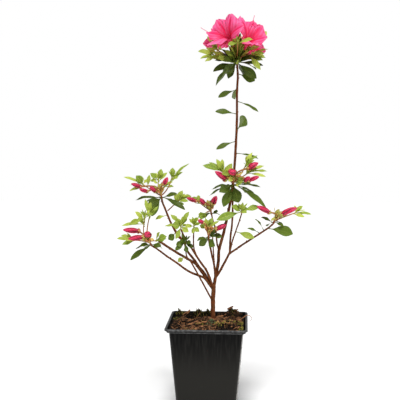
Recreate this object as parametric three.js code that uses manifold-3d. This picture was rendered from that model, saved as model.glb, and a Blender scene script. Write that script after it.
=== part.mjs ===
// A young evergreen azalea in bloom, in a square black nursery pot.
// Millimetres, +Z up. The origin is the middle of the pot's underside.
// The viewer stands on the -Y side, with +X on the right.

import * as THREE from 'three';
import Module from 'manifold-3d';

const wasm = await Module();
wasm.setup();

// The pot's driving dimensions
const RIM_WIDTH = 110;
const POT_HEIGHT = 120;
const BODY_TOP_WIDTH = 99;
const BASE_WIDTH = 79;
const CORNER_RADIUS = 7;
const RIM_BAND = 5.5;
const WALL = 1.6;
const DRAIN_HOLE_RADIUS = 4;
const DRAIN_HOLE_PLACE = 24;
const DRAIN_HOLE_SIDES = 8;
const RIM_GROOVE_DROP = 2.8;
const RIM_GROOVE_DEPTH = 2.3;
const FOOT_BEVEL = 1.5;
const LIP_BEVEL = 0.7;

// The soil's driving dimensions
const SOIL_LEVEL = 115.5;
const SOIL_MOUND = 5.5;
// Where the soil spreads out over the step that the rim makes inside the pot
const SOIL_SHOULDER = 115.7;
const SOIL_SHOULDER_WIDTH = 99.8;
const SOIL_SHOULDER_DROP = 3.1;
const SOIL_CORNER_RADIUS = 7;
const SOIL_RING_SHARES = [1, 0.82, 0.62, 0.42, 0.24, 0.1];
const TRUNK_HOLE_CLEARANCE = 0.7;
const GAP = 0.3;

// The trunk's foot
const TRUNK_AT = [7, 4];
const TRUNK_RADIUS = 3.5;
const TRUNK_FOOT = 84;

// Leaf blades. The stations are shares of a blade's length.
const BLADE_THICKNESS = 1.1;
const SMALL_BLADE_STATIONS = [0.45, 0.82];
const LARGE_BLADE_STATIONS = [0.32, 0.6, 0.86];
const STALK_SHARE = 0.12;
const BLADE_ARCH = 0.07;
const STALK_WIDTH = 0.8;
const SCRAP_VOLUME = 1;
const LARGE_LEAF = 9;
// The lists give a leaf's width as it looks in the photo, at a slant, and how it faces on average
const BROADER = 1.3;
const FACE_LEAN = 22;

// Shoots: their stems, the lengths of twig that hold them, and how their feet are spread along those
const STEM_RADIUS = 1.15;
const STEM_BEND = 0.4;
const STEM_OUTWARD_RISE = 0.6;
const CORE_RADIUS = 1.6;
const OLD_CORE_RADIUS = 1.7;
const SPREAD = 0.618;
const FIRST_LEAF_BACK = 0.08;
const LEAF_SPACING = 0.11;
const ROSETTE_STEM_RADIUS = 1.1;

// How far parts of different nodes keep apart, and the turns tried to get there
const BLADE_REACH = 1.7;
const TURN_STEP = 11;
const TURNS = 8;

// The trunk and its branches: points from the foot outward, with the radius at both ends
const BRANCHES = [
  { points: [[7, 4, 84], [7, 4, 112], [7, 4, 124], [7, 4, 148],
    [8, 4, 167]], from: 3.5, to: 3.2, sides: 8 },
  {
    points: [[8, 4, 166], [11, 5, 183], [14, 7, 199], [15, 8, 217], [19, 10, 232], [23, 12, 248],
      [27, 14, 267],
      [31, 15, 287], [33, 15, 304], [36, 14, 334], [38, 10, 369], [39, 7, 396], [39, 5, 431], [40, 4, 454],
      [39, 4, 470]],
    from: 2.5, to: 1.5, sides: 6,
  },
  {
    points: [[6, 4, 164], [-4, 1, 178], [-13, -2, 183], [-22, -5, 187], [-32, -10, 194], [-40, -14, 201],
      [-54, -21, 212], [-67, -27, 223], [-73, -30, 227]],
    from: 1.9, to: 1.2, sides: 5,
  },
  {
    points: [[6, 4, 164], [-6, 4, 183], [-11, 3, 190], [-18, 2, 199], [-32, -1, 208], [-48, -4, 218],
      [-58, -6, 225], [-67, -8, 231]],
    from: 2.0, to: 1.7, sides: 5,
  },
  {
    points: [[6, 5, 164], [-5, 7, 184], [-12, 9, 192], [-21, 12, 204], [-30, 14, 215], [-34, 16, 226],
      [-43, 18, 236], [-53, 20, 253], [-59, 22, 267], [-65, 24, 281], [-66, 24, 286]],
    from: 2.0, to: 1.4, sides: 5,
  },
  {
    points: [[7, 3, 165], [2, 1, 180], [-2, -1, 190], [-8, -3, 199], [-15, -6, 210], [-22, -9, 222],
      [-27, -11, 228], [-33, -12, 241], [-36, -12, 248]],
    from: 1.9, to: 1.1, sides: 5,
  },
  { points: [[-15, -6, 210], [-19, -7, 224], [-19, -6, 248]], from: 1.1, to: 0.9, sides: 4 },
  { points: [[6, 3, 147], [-11, -5, 181], [-23, -11, 204], [-28, -13, 211],
    [-30, -14, 226]], from: 1.3, to: 0.9,
    sides: 4 },
  { points: [[10, 5, 178], [9, 1, 195], [6, -8, 212], [3, -18, 230],
    [2, -20, 236]], from: 1.7, to: 1.2, sides: 5 },
  { points: [[9, 1, 193], [8, -4, 214], [7, -8, 234]], from: 1.0, to: 0.9, sides: 4 },
  { points: [[15, 8, 216], [12, 13, 226], [10, 18, 243], [6, 22, 256],
    [4, 24, 264]], from: 1.3, to: 1.1, sides: 5 },
  { points: [[10, 5, 178], [15, 3, 186], [22, 0, 199], [30, -4, 215]], from: 1.9, to: 1.6, sides: 5 },
  { points: [[30, -4, 214], [46, -9, 226], [63, -14, 238], [80, -19, 250],
    [88, -22, 257]], from: 1.5, to: 1.2,
    sides: 5 },
  {
    points: [[30, -4, 213], [31, -8, 236], [33, -12, 253], [34, -14, 269], [34, -15, 285], [35, -16, 306]],
    from: 1.5, to: 1.2, sides: 5,
  },
  { points: [[30, -4, 213], [33, -8, 229], [38, -14, 245], [42, -20, 257],
    [46, -24, 270]], from: 1.1, to: 0.9,
    sides: 4 },
];

// Leafy tips. Each one sits on a branch's end, and its leaves, shoots and buds are offsets from there.
// A leaf is [x, y, z of its tip, width, how far its face turns to the viewer in degrees].
// A bud is [base x, y, z, tip x, y, z, thickness], and a scale is [tip x, y, z, width].
const TIPS = [
  {
    name: 'top', at: [39, 4, 470], axis: [0, 0, 1],
    old: [[-32, -8, -10, 9, 30], [-17, -14, -13, 11, 50], [-12, -4, -19, 9, 30], [-29, 5, -28, 8, -50],
      [35, -6, -2, 8, 15], [26, -9, -20, 10, 50],
      [-20, 22, -8, 9, 0], [9, 26, -11, 9, 0], [26, 20, -5, 9, 0], [-6, 25, -3, 8, 0],
      [38, -5, 9, 8, 15], [22, -18, 8, 8, 25], [4, -23, 7, 9, 45], [-16, -18, 6, 9, 35],
      [-30, -3, 5, 9, 20],
      [-10, -19, 15, 8, 45], [12, -19, 15, 8, 40]],
    shoots: [
      { end: [-30, -6, 11], leaves: [[-52, -10, 17, 8, 30], [-50, -1, 8, 7, 20], [-43, -12, 3, 6, 20],
        [-42, -4, 22, 6, 30]] },
      { end: [-13, -14, 9], leaves: [[-28, -20, 8, 8, 40], [-22, -28, 13, 7, 30], [-13, -28, 5, 7, 40]] },
      { end: [1, -26, 26], leaves: [[-12, -34, 21, 6, 30], [20, -43, 27, 7, 30], [3, -22, 39, 7, 60]] },
      { end: [23, -8, 12], leaves: [[37, -12, 7, 7, 20], [36, -2, 14, 6, 20], [42, -8, 19, 6, 10],
        [30, -20, 11, 7, 30], [34, 0, -9, 7, 40]] },
      { end: [30, 10, 34], leaves: [[40, 4, 46, 7, 40], [36, 18, 44, 6, 0]] },
      { end: [-27, 8, 20], leaves: [[-41, 4, 38, 8, 40], [-37, 16, 30, 7, 0]] },
      { end: [3, 24, 12], leaves: [[8, 42, 14, 7, 0], [-9, 38, 16, 7, 0]] },
      { end: [14, -13, 9], leaves: [[31, -17, 12, 8, 25], [24, -26, 6, 7, 35]] },
      { end: [12, 4, 17], leaves: [[30, 2, 24, 8, 20]] },
    ],
    buds: [], scales: [],
  },
  {
    name: 'middle', at: [35, -16, 306], axis: [0, 0, 1],
    old: [[-26, -4, -1, 9, -10], [-18, -16, -6, 10, 40], [-30, 8, -4, 6, 0], [-33, 4, -13, 6, 0],
      [7, -12, -20, 14, 30], [36, -6, 0, 8, -10], [30, 6, -12, 7, 0], [-13, -12, -26, 10, 20],
      [42, -14, -28, 8, 20], [-18, 22, -5, 8, 0], [16, 22, -9, 9, 0], [26, 18, 2, 8, 0]],
    shoots: [
      { end: [-15, 2, 20], leaves: [[-41, 0, 29, 8, 30], [-33, 6, 33, 6, 20], [-23, 4, 37, 6, 40],
        [-16, 10, 37, 6, 30], [-2, 4, 31, 7, 30]] },
      { end: [-6, -9, 15], leaves: [[-14, -26, 18, 8, 20], [6, -22, 9, 6, 30]] },
      { end: [4, -6, 6], leaves: [[16, -20, 9, 10, 60]] },
      { end: [17, 8, 30], leaves: [[18, 10, 38, 6, 60], [32, 6, 42, 5, 20], [25, 12, 46, 5, 20],
        [28, 18, 36, 5, 0]] },
      { end: [22, 2, 20], leaves: [[45, 2, 21, 5, 10], [41, 8, 28, 5, 20], [43, -6, 14, 5, 20],
        [31, -4, 25, 7, 30],
        [18, -6, 26, 7, 40]] },
      { end: [-4, 12, 16], leaves: [[-14, 24, 22, 6, 0], [2, 24, 26, 6, 0]] },
    ],
    buds: [[-9, -12, 9, -24, -18, 21, 7.5], [2, -14, 18, -5, -28, 22, 9], [18, -4, 24, 33, -5, 32, 8],
      [15, -14, 8, 22, -26, 14, 6], [20, -10, 8, 34, -14, 14, 6], [-2, 16, 14, -12, 28, 24, 7]],
    scales: [[13, -2, 20, 4], [-12, -6, 14, 4]],
  },
  {
    name: 'upper_left', at: [-66, 24, 286], axis: [-0.2, 0, 0.98],
    old: [[-18, -14, -8, 11, 50], [-13, -12, -23, 9, 20], [-38, 2, -2, 8, 0], [40, -7, -12, 8, 10],
      [28, 8, -9, 7, -10], [22, -6, 8, 7, 20], [-14, 24, -5, 8, 0], [12, 26, -7, 8, 0],
      [-28, 15, -9, 8, 0]],
    shoots: [
      { end: [-28, 3, 21], leaves: [[-36, 0, 33, 9, 60], [-54, 0, 31, 5, 20], [-47, 8, 19, 5, 0],
        [-45, -6, 12, 5, 20], [-18, 4, 34, 5, 40]] },
      { end: [-6, 9, 27], leaves: [[-17, 6, 36, 8, 30], [-2, 12, 42, 7, 40], [6, 14, 37, 6, 20],
        [-12, 0, 25, 6, 30]] },
      { end: [14, 2, 30], leaves: [[15, 4, 44, 7, 40], [29, 4, 38, 6, 20], [39, -2, 50, 5, 20],
        [24, -6, 32, 7, 30]] },
      { end: [2, 18, 16], leaves: [[-6, 32, 20, 7, 0], [12, 30, 24, 6, 0]] },
    ],
    buds: [[-28, -6, 17, -42, -8, 22, 6], [-18, -12, 11, -29, -18, 15, 6], [-8, -10, 11, -14, -20, 18, 6],
      [2, -6, 20, 9, -8, 31, 7]],
    scales: [[-13, -3, 17, 4], [-4, -12, 14, 3]],
  },
  {
    name: 'lower_left', at: [-73, -30, 227], axis: [-0.5, -0.2, 0.84],
    old: [[-28, -9, -18, 7, 30], [13, -8, 1, 7, 30], [-16, 2, 1, 6, 20], [-11, 22, -7, 8, 0],
      [12, 20, -6, 7, 0],
      [-25, 12, -6, 7, 0]],
    shoots: [
      { end: [-10, 4, 38], leaves: [[-31, 0, 29, 7, 40], [-23, 4, 46, 6, 30], [-14, -6, 47, 8, 50],
        [-42, 4, 27, 5, 20], [-20, 14, 38, 6, 0]] },
      { end: [-4, 12, 42], leaves: [[-3, 12, 58, 6, 30], [-11, 14, 62, 5, 30], [6, 18, 52, 5, 0]] },
      { end: [-25, -2, 8], leaves: [[-47, -2, 10, 6, 20], [-43, 6, 14, 5, 10], [-39, -8, 3, 6, 30],
        [-36, -12, 11, 6, 40], [-38, 12, 5, 5, 0]] },
      { end: [7, -2, 7], leaves: [[20, -6, 14, 10, 40], [11, -4, 20, 6, 30], [18, 8, 12, 6, 0]] },
    ],
    buds: [[-15, -8, 21, -37, -12, 23, 7.5], [-9, -14, 14, -29, -20, 12, 7.5],
      [-2, -12, 16, -5, -26, 19, 8.5]],
    scales: [[-7, -9, 8, 4], [-1, -8, 9, 4], [3, -3, 9, 4]],
  },
  {
    name: 'inner_back', at: [4, 24, 264], axis: [-0.2, 0, 0.98],
    old: [[9, -9, 6, 6, 30], [-12, 16, -3, 7, 0], [10, 18, -1, 7, 0], [-15, -6, -4, 7, 20]],
    shoots: [
      { end: [-9, -8, 2], leaves: [[-17, -18, -1, 9, 50], [-8, -20, 2, 6, 30]] },
      { end: [-18, 5, 17], leaves: [[-31, 8, 24, 6, 20], [-20, 10, 27, 6, 30], [-24, 14, 14, 6, 0]] },
    ],
    buds: [[-21, 0, 19, -35, -2, 24, 6], [-9, -4, 14, -16, -6, 24, 6.5], [1, -4, 15, 7, -6, 27, 8.5]],
    scales: [[-6, -2, 13, 5], [3, -2, 10, 4]],
  },
  {
    name: 'inner_front', at: [2, -20, 236], axis: [0, 0, 1],
    old: [[9, -13, -8, 10, 60], [-12, -10, -8, 8, 50], [17, -2, 6, 6, 20], [-8, 18, -5, 7, 0],
      [9, 16, -7, 7, 0],
      [-16, 4, -3, 7, 10]],
    shoots: [
      { end: [-2, 3, 15], leaves: [[-12, 0, 18, 7, 40], [-4, 4, 27, 6, 40], [5, 6, 28, 6, 40],
        [14, 4, 24, 5, 20],
        [-3, 16, 20, 6, 0]] },
    ],
    buds: [[-6, -4, 22, -14, -6, 26, 5.5], [10, -6, 14, 24, -9, 21, 7]],
    scales: [[-6, -6, 17, 4], [2, -7, 13, 4]],
  },
  {
    name: 'right', at: [88, -22, 257.2], axis: [0.4, -0.1, 0.9],
    old: [[-16, -3, 9, 5, 20], [14, -2, -2, 5, 20], [-7, 19, -5, 8, 0], [9, 17, 1, 7, 0]],
    shoots: [
      { end: [30, 1, 15], leaves: [[39, 2, 24, 5, 30], [51, 2, 13, 5, 20], [41, -4, 10, 5, 30]] },
      { end: [10, 12, 8], leaves: [[20, 22, 12, 6, 0], [6, 26, 12, 6, 0]] },
    ],
    buds: [[-4, -5, 15, -22, -9, 24, 7], [9, -6, 12, 31, -9, 22, 8]],
    scales: [[3, -3, 12, 4], [-3, -8, 5, 3]],
  },
];

// Shoots and single leaves that spring from the side of the wood. Leaves are offsets from the given place,
// which lies just off the bark, and a shoot with an end carries its leaves there.
const SIDE_SHOOTS = [
  { name: 'centre_left_rosette', at: [-36, -12, 248], axis: [-0.3, 0, 0.95], end: [0, 0, 5],
    leaves: [[-14, 0, 20, 6, 30], [11, 2, 24, 6, 30], [-11, -12, 7, 10, 60], [-23, 2, 4, 5, 10],
      [11, -8, -3, 7, 40], [-6, -12, -12, 6, 30], [7, 8, 17, 6, 20], [-8, 16, 8, 7, 0], [8, 18, 4, 6, 0]] },
  { name: 'centre_right_rosette', at: [-19, -6, 248], axis: [0, 0, 1], end: [0.4, -0.3, 4.5],
    leaves: [[4, -2, 16, 6, 30], [-6, -4, 14, 6, 30], [10, -6, 8, 6, 20], [-10, -8, 4, 6, 30],
      [8, -9, -3, 6, 40],
      [-2, -10, -5, 6, 40], [2, 12, 9, 6, 0]] },
  { name: 'low_rosette', at: [-30, -14, 226], axis: [0, 0, 1], end: [0, 0, 4], dark: true,
    leaves: [[-12, -4, 1, 7, 40], [-13, -5, -6, 6, 30], [-6, -6, 8, 6, 30], [8, -5, 5, 6, 30],
      [11, 0, -2, 6, 20],
      [4, -9, -8, 6, 30], [-2, 11, 0, 7, 0]] },
  { name: 'twin_stem_leaves', at: [7, -8, 234], axis: [0, 0, 1], end: [0, 0, 4], dark: true,
    leaves: [[13, -4, 4, 6, 30], [10, 8, 2, 6, 0], [-4, 8, 7, 6, 10]] },
  { name: 'fork_rosette', at: [46, -24, 270], axis: [0.1, -0.1, 1], end: [0, 0, 4],
    leaves: [[-3, -2, 13, 8, 50], [25, -2, 10, 8, 30], [-33, -8, -7, 10, 45], [-12, -8, 12, 9, 40],
      [6, 10, 9, 6, 0]] },
  { name: 'fork_node_leaf', at: [39.5, -14, 245], axis: [1, 0, 0], end: [3, 0, 0],
    leaves: [[25, -3, -7, 8, 45]] },
  { name: 'upper_left_side_shoot', at: [-57, 22, 270], axis: [0.5, 0, 0.8], end: [17, 3, 16],
    leaves: [[34, 1, 20, 7, 20], [31, -6, 14, 6, 20], [20, 4, 28, 7, 40], [11, 8, 24, 6, 20],
      [23, -7, 10, 6, 30],
      [24, 14, 20, 6, 0]] },
  { name: 'stem_leaf_1', at: [39, 7.6, 441], axis: [0, 1, 0], end: [-1, 2, -1], dark: true,
    leaves: [[-3, 7, -17, 13, 20]] },
  { name: 'stem_leaf_2', at: [36.6, 5, 436], axis: [-1, 0, 0], end: [-3, 0, 0], dark: true,
    leaves: [[-23, -2, -10, 8, 30]] },
  { name: 'stem_leaf_3', at: [41.5, 6, 420], axis: [1, 0, 0.3], end: [4, -1, 2], dark: true,
    leaves: [[27, -4, -14, 6, 10]] },
  { name: 'stem_leaf_4', at: [36.8, 6, 404], axis: [-1, 0, 0.2], end: [-4, -1, 1], dark: true,
    leaves: [[-27, -4, 3, 8, 30]] },
  { name: 'stem_leaf_5', at: [40.6, 6, 383], axis: [0.8, -0.5, 0.4], end: [2, -1, 1], dark: true,
    leaves: [[11, -5, 18, 15, 75]] },
  { name: 'stem_leaf_6', at: [35.8, 11, 366], axis: [-1, 0, 0.2], end: [-3, 0, 1], dark: true,
    leaves: [[-25, -3, -10, 7, 30]] },
  { name: 'stem_leaf_7', at: [38.8, 13, 350], axis: [1, 0, 0.4], end: [5, -1, 3], dark: true,
    leaves: [[30, -3, -7, 5, 10]] },
  { name: 'stem_leaf_8', at: [41.2, 4, 457], axis: [1, 0, 0.1], end: [3, -1, 0], dark: true,
    leaves: [[22, -1, -9, 11, 50]] },
  { name: 'branch_leaf_1', at: [-60.5, 21, 263], axis: [-1, 0, 0], end: [-2, 0, 0], dark: false,
    leaves: [[-14, -3, -5, 6, 20]] },
  { name: 'branch_leaf_2', at: [-47.5, 17, 238], axis: [-1, 0, 0], end: [-1, -1, 0], dark: true,
    leaves: [[-8, -8, -7, 9, 60]] },
  { name: 'branch_leaf_3', at: [-33, -3.5, 208], axis: [0, -1, 0], end: [0, -2, 0],
    leaves: [[-6, -8, -5, 6, 40]] },
  { name: 'branch_leaf_4', at: [75, -17, 249.5], axis: [-0.5, 0, 0.8], end: [-1, 0, 2], dark: true,
    leaves: [[-11, -4, 14, 5, 10]] },
  { name: 'branch_leaf_5', at: [69, -15.5, 244.5], axis: [-0.5, 0, 0.8], end: [-1, 0, 2], dark: true,
    leaves: [[-15, -3, 6, 5, 10]] },
  { name: 'branch_leaf_6', at: [83, -21, 249.5], axis: [1, 0, -0.2], end: [6, -1, -1], dark: true,
    leaves: [[31, -6, -5, 13, 35]] },
];

// The blooms of the top tip. A bloom is its throat's place, the way it faces, its petals' width, its pistil's
// end and its five petal tips. A throat is given from the pot's middle, the ends and tips from the throat.
const BLOOM_BASE = [39, 4, 482.5];
const BLOOMS = [
  { throat: [29, -4, 502], facing: [-0.42, -0.6, 0.68], width: 25, pistil: [-6, -26, 14],
    petals: [[19, -22, 15], [3, -4, 33], [-17, 4, 27], [-31, -2, 9], [-28, -21, -11]] },
  { throat: [52, 0, 497], facing: [0.42, -0.45, 0.79], width: 26, pistil: [10, -3, 36],
    petals: [[-9, 8, 37], [10, 16, 32], [21, 4, 24], [27, -8, 6], [9, -26, -5]] },
  { throat: [25, 18, 503], facing: [-0.75, 0.6, 0.28], width: 18, pistil: [-36, 4, 19],
    petals: [[-33, 3, -3], [-22, 12, 19], [-1, 26, 26], [3, 33, 2], [-12, 29, -8]] },
  { throat: [51, 21, 494], facing: [0.55, 0.78, 0.3], width: 20, pistil: [22, 24, 14],
    petals: [[27, 4, -4], [17, 18, 20], [-6, 28, 20], [-2, 33, 2], [20, 14, -14]] },
];
const PETAL_THICKNESS = 1.1;
const PETAL_FOOT_OUT = 2.4;
const PETAL_BEND = 0.34;
const PETAL_DROOP = 0.16;
const PETAL_RUFFLE = 1.5;
const PETAL_ROUNDING = 0.1;
const PETAL_COLUMNS = [-1, -0.4, 0.4, 1];
const FUNNEL_LENGTH = 13;
const FUNNEL_MOUTH = 6.5;
const FUNNEL_DISH = 2;
const FUNNEL_RADII = [1.5, 3, 5.6];
const FUNNEL_SIDES = 8;
const BLOOM_FOOT_OUT = 3;
const BLOOM_STALK_RADII = [0.8, 1.2];
const PETAL_STATIONS = [[0.26, 0.3], [0.52, 0.82], [0.78, 1], [1, 0.44]];
const STAMENS = 5;
const STAMEN_REACH = [22, 24, 26];
const STAMEN_LEAN = 4;
const STAMEN_RISE = 3;
const STAMEN_RADII = [0.5, 0.55];

// Small leaves that fill out every shoot, drawn from a seeded row of numbers
const FILLER_SEED = 11;
const FILLERS = 1;
const ROSETTE_FILLERS = 3;
const FILLER_LENGTH = [10, 15];
const FILLER_WIDTH = [5, 6.5];

const COLOURS = {
  pot: { color: 0x26262a, roughness: 0.45 },
  soil: { color: 0x2c211a, roughness: 1 },
  bark: { color: 0x6e4030, roughness: 0.8 },
  old: { color: 0x4b6a2c, roughness: 0.5 },
  young: { color: 0x9fbf4b, roughness: 0.5 },
  bud: { color: 0xc41f55, roughness: 0.55 },
  petal: { color: 0xf84f92, roughness: 0.6 },
};

// Small vector helpers

function vec(list) {
  return new THREE.Vector3(list[0], list[1], list[2]);
}

function along(a, b, t) {
  return a.clone().lerp(b, t);
}

// A point on the curve that leaves a for the bend point and lands on b
function bezier(a, bend, b, t) {
  return along(along(a, bend, t), along(bend, b, t), t);
}

// Closed solids from rings, sheets and their joins

function solidFrom(points, faces) {
  let volume = 0;
  for (const [i, j, k] of faces) {
    volume += points[i].dot(new THREE.Vector3().crossVectors(points[j], points[k]));
  }
  const vertProperties = new Float32Array(points.flatMap((p) => [p.x, p.y, p.z]));
  const triVerts = new Uint32Array(faces.flatMap(([i, j, k]) => (volume < 0 ? [i, k, j] : [i, j, k])));
  return new wasm.Manifold(new wasm.Mesh({ numProp: 3, vertProperties, triVerts }));
}

// Rings of equal length, joined side by side and closed at both ends. The last ring may be one point.
// Neighbouring side faces are split in mirrored ways, so that the two faces of a blade match.
function loft(rings) {
  const count = rings[0].length;
  const points = rings.flat();
  const faces = [];
  for (let r = 0; r + 1 < rings.length; r += 1) {
    const start = r * count;
    const pointed = rings[r + 1].length === 1;
    for (let j = 0; j < count; j += 1) {
      const a = start + j;
      const b = start + (j + 1) % count;
      if (pointed) {
        faces.push([a, b, start + count]);
      } else if (j % 2 === 0) {
        faces.push([a, b, a + count], [b, b + count, a + count]);
      } else {
        faces.push([a, b, b + count], [a, b + count, a + count]);
      }
    }
  }
  for (let j = 2; j < count; j += 1) {
    faces.push([1, (j + 1) % count, j]);
    if (rings.at(-1).length > 1) {
      const start = points.length - count;
      faces.push([start + 1, start + j, start + (j + 1) % count]);
    }
  }
  return solidFrom(points, faces);
}

// A petal's solid from a grid of places: thick inside, sharp at both edges and at its end.
// Both faces are split into triangles alike.
function sharpSheet(grid, thickness) {
  const rows = grid.length;
  const columns = grid[0].length;
  const points = [];
  const upper = [];
  const lower = [];
  grid.forEach((row, i) => row.forEach(({ point, normal }, j) => {
    const sharp = j === 0 || j === columns - 1 || i === rows - 1;
    upper.push(points.length);
    points.push(point.clone().addScaledVector(normal, sharp ? 0 : thickness / 2));
    if (!sharp) points.push(point.clone().addScaledVector(normal, -thickness / 2));
    lower.push(points.length - 1);
  }));
  const faces = [];
  for (let i = 0; i + 1 < rows; i += 1) {
    for (let j = 0; j + 1 < columns; j += 1) {
      const a = i * columns + j;
      const [b, c, d] = [a + 1, a + columns + 1, a + columns];
      const halves = j === 0 ? [[a, b, d], [b, c, d]] : [[a, b, c], [a, c, d]];
      halves.forEach(([x, y, z]) => {
        faces.push([upper[x], upper[y], upper[z]], [lower[x], lower[z], lower[y]]);
      });
    }
  }
  const foot = [...lower.slice(0, columns), ...upper.slice(1, columns - 1).reverse()];
  for (let j = 1; j + 1 < foot.length; j += 1) faces.push([foot[0], foot[j], foot[j + 1]]);
  return solidFrom(points, faces);
}

// One body from many. Loose scraps are dropped, and a hollow that the joining seals is filled.
function join(solids) {
  const bodies = solids.reduce((whole, solid) => whole.add(solid)).decompose();
  return bodies.filter((body) => body.volume() > SCRAP_VOLUME).reduce((whole, body) => whole.add(body));
}

// A tapered tube with flat ends through the given points, each with its radius
function tube(points, radii, sides) {
  const rings = [];
  let side = null;
  points.forEach((point, i) => {
    const before = points[Math.max(i - 1, 0)];
    const after = points[Math.min(i + 1, points.length - 1)];
    const ahead = after.clone().sub(before).normalize();
    if (!side) {
      side = new THREE.Vector3(1, 0, 0);
      if (Math.abs(ahead.x) > 0.8) side.set(0, 1, 0);
    }
    side.addScaledVector(ahead, -side.dot(ahead)).normalize();
    const up = new THREE.Vector3().crossVectors(ahead, side);
    const ring = [];
    for (let k = 0; k < sides; k += 1) {
      const angle = 2 * Math.PI * k / sides;
      const p = point.clone().addScaledVector(side, radii[i] * Math.cos(angle));
      ring.push(p.addScaledVector(up, radii[i] * Math.sin(angle)));
    }
    rings.push(ring);
  });
  return loft(rings);
}

// A smooth curve through a branch's points, as a list of evenly spaced places
function branchCourse(points, steps) {
  return new THREE.CatmullRomCurve3(points.map(vec), false, 'catmullrom', 0.5).getPoints(steps);
}

// Where every part already is, so that the next one keeps clear of it

const places = [];

function keep(samples, node) {
  samples.forEach((sample) => places.push({ ...sample, node }));
}

function isClear(samples, node) {
  return samples.every(({ point, radius }) => places.every((place) => place.node === node
    || place.point.distanceTo(point) > place.radius + radius));
}

// Turns an offset's far end about the upright line through its near end
function turned(far, near, degrees) {
  const upright = new THREE.Vector3(0, 0, 1);
  return far.clone().sub(near).applyAxisAngle(upright, degrees * Math.PI / 180).add(near);
}

// The first turn, nearest to none, at which the samples of a part are clear
function clearTurn(sampler, node) {
  for (let i = 0; i <= 2 * TURNS; i += 1) {
    const angle = TURN_STEP * Math.ceil(i / 2) * (i % 2 ? 1 : -1);
    if (isClear(sampler(angle), node)) return angle;
  }
  return null;
}

// The pot

// A square with rounded corners, as one ring at height z
function squareRing(width, z, radius = CORNER_RADIUS, cornerSteps = 3) {
  const ring = [];
  const straight = width / 2 - radius;
  for (let corner = 0; corner < 4; corner += 1) {
    for (let i = 0; i <= cornerSteps; i += 1) {
      const angle = Math.PI / 2 * (corner + i / cornerSteps);
      const cx = straight * (corner === 0 || corner === 3 ? 1 : -1);
      const cy = straight * (corner < 2 ? 1 : -1);
      ring.push(new THREE.Vector3(cx + radius * Math.cos(angle), cy + radius * Math.sin(angle), z));
    }
  }
  return ring;
}

// The body's outer width at a height below the rim
function bodyWidth(z) {
  return BASE_WIDTH + (BODY_TOP_WIDTH - BASE_WIDTH) * z / (POT_HEIGHT - RIM_BAND);
}

function makePot() {
  const bandFoot = POT_HEIGHT - RIM_BAND;
  const groove = POT_HEIGHT - RIM_GROOVE_DROP;
  const floor = WALL + 0.4;
  // Pairs of width and height, from the foot up to the lip and down again inside
  const outside = [[BASE_WIDTH - 2 * FOOT_BEVEL, 0], [bodyWidth(FOOT_BEVEL), FOOT_BEVEL],
    [BODY_TOP_WIDTH, bandFoot], [RIM_WIDTH - 2 * RIM_GROOVE_DEPTH - 0.4, bandFoot + 0.4],
    [RIM_WIDTH - 2 * RIM_GROOVE_DEPTH + 0.6, groove - 0.5], [RIM_WIDTH - 2 * RIM_GROOVE_DEPTH, groove],
    [RIM_WIDTH, groove + 0.6], [RIM_WIDTH, POT_HEIGHT - LIP_BEVEL],
    [RIM_WIDTH - 2 * LIP_BEVEL, POT_HEIGHT]];
  const inside = [[RIM_WIDTH - 5.4, POT_HEIGHT], [RIM_WIDTH - 6.4, POT_HEIGHT - 1],
    [RIM_WIDTH - 8, bandFoot + 1.5], [BODY_TOP_WIDTH - 2 * WALL, bandFoot - 1.5],
    [bodyWidth(floor) - 2 * WALL, floor]];
  const shell = loft([...outside, ...inside].map(([width, z]) => squareRing(width, z)));
  const holes = [[1, 1], [1, -1], [-1, 1], [-1, -1]].map(([x, y]) => {
    const place = [x * DRAIN_HOLE_PLACE, y * DRAIN_HOLE_PLACE];
    const ring = (z) => circleRing(...place, z, DRAIN_HOLE_RADIUS, DRAIN_HOLE_SIDES);
    return loft([ring(-1), ring(WALL + 2)]);
  });
  return shell.subtract(join(holes));
}

function circleRing(x, y, z, radius, sides) {
  return Array.from({ length: sides }, (_, k) => {
    const angle = 2 * Math.PI * k / sides;
    return new THREE.Vector3(x + radius * Math.cos(angle), y + radius * Math.sin(angle), z);
  });
}

// The soil's top: gentle lumps, and a mound about the trunk
function soilHeight(x, y) {
  const lumps = 0.9 * Math.sin(0.21 * x + 1) * Math.cos(0.17 * y)
    + 0.7 * Math.sin(0.43 * x - 0.31 * y + 2) + 0.5 * Math.sin(0.5 * y + 0.2 * x);
  const away = (x - TRUNK_AT[0]) ** 2 + (y - TRUNK_AT[1]) ** 2;
  return SOIL_LEVEL + lumps + SOIL_MOUND * Math.exp(-away / 500);
}

function makeSoil() {
  const innerWidth = (z) => bodyWidth(z) - 2 * WALL - 2 * GAP - 0.8;
  const floor = WALL + 0.4 + GAP;
  const step = SOIL_SHOULDER - SOIL_SHOULDER_DROP;
  const rings = [squareRing(innerWidth(floor) - 2, floor, SOIL_CORNER_RADIUS),
    squareRing(innerWidth(step), step, SOIL_CORNER_RADIUS)];
  for (const share of SOIL_RING_SHARES) {
    const lowest = share === 1 ? SOIL_SHOULDER : 0;
    rings.push(squareRing(SOIL_SHOULDER_WIDTH, 0, SOIL_CORNER_RADIUS).map((p) => {
      const x = p.x * share;
      const y = p.y * share;
      return new THREE.Vector3(x, y, Math.max(lowest, soilHeight(x, y)));
    }));
  }
  const holeRing = (z) => circleRing(...TRUNK_AT, z, TRUNK_RADIUS + TRUNK_HOLE_CLEARANCE, 12);
  const hole = loft([holeRing(TRUNK_FOOT - GAP), holeRing(POT_HEIGHT + 5)]);
  return loft(rings).subtract(hole);
}

// The wood

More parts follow.
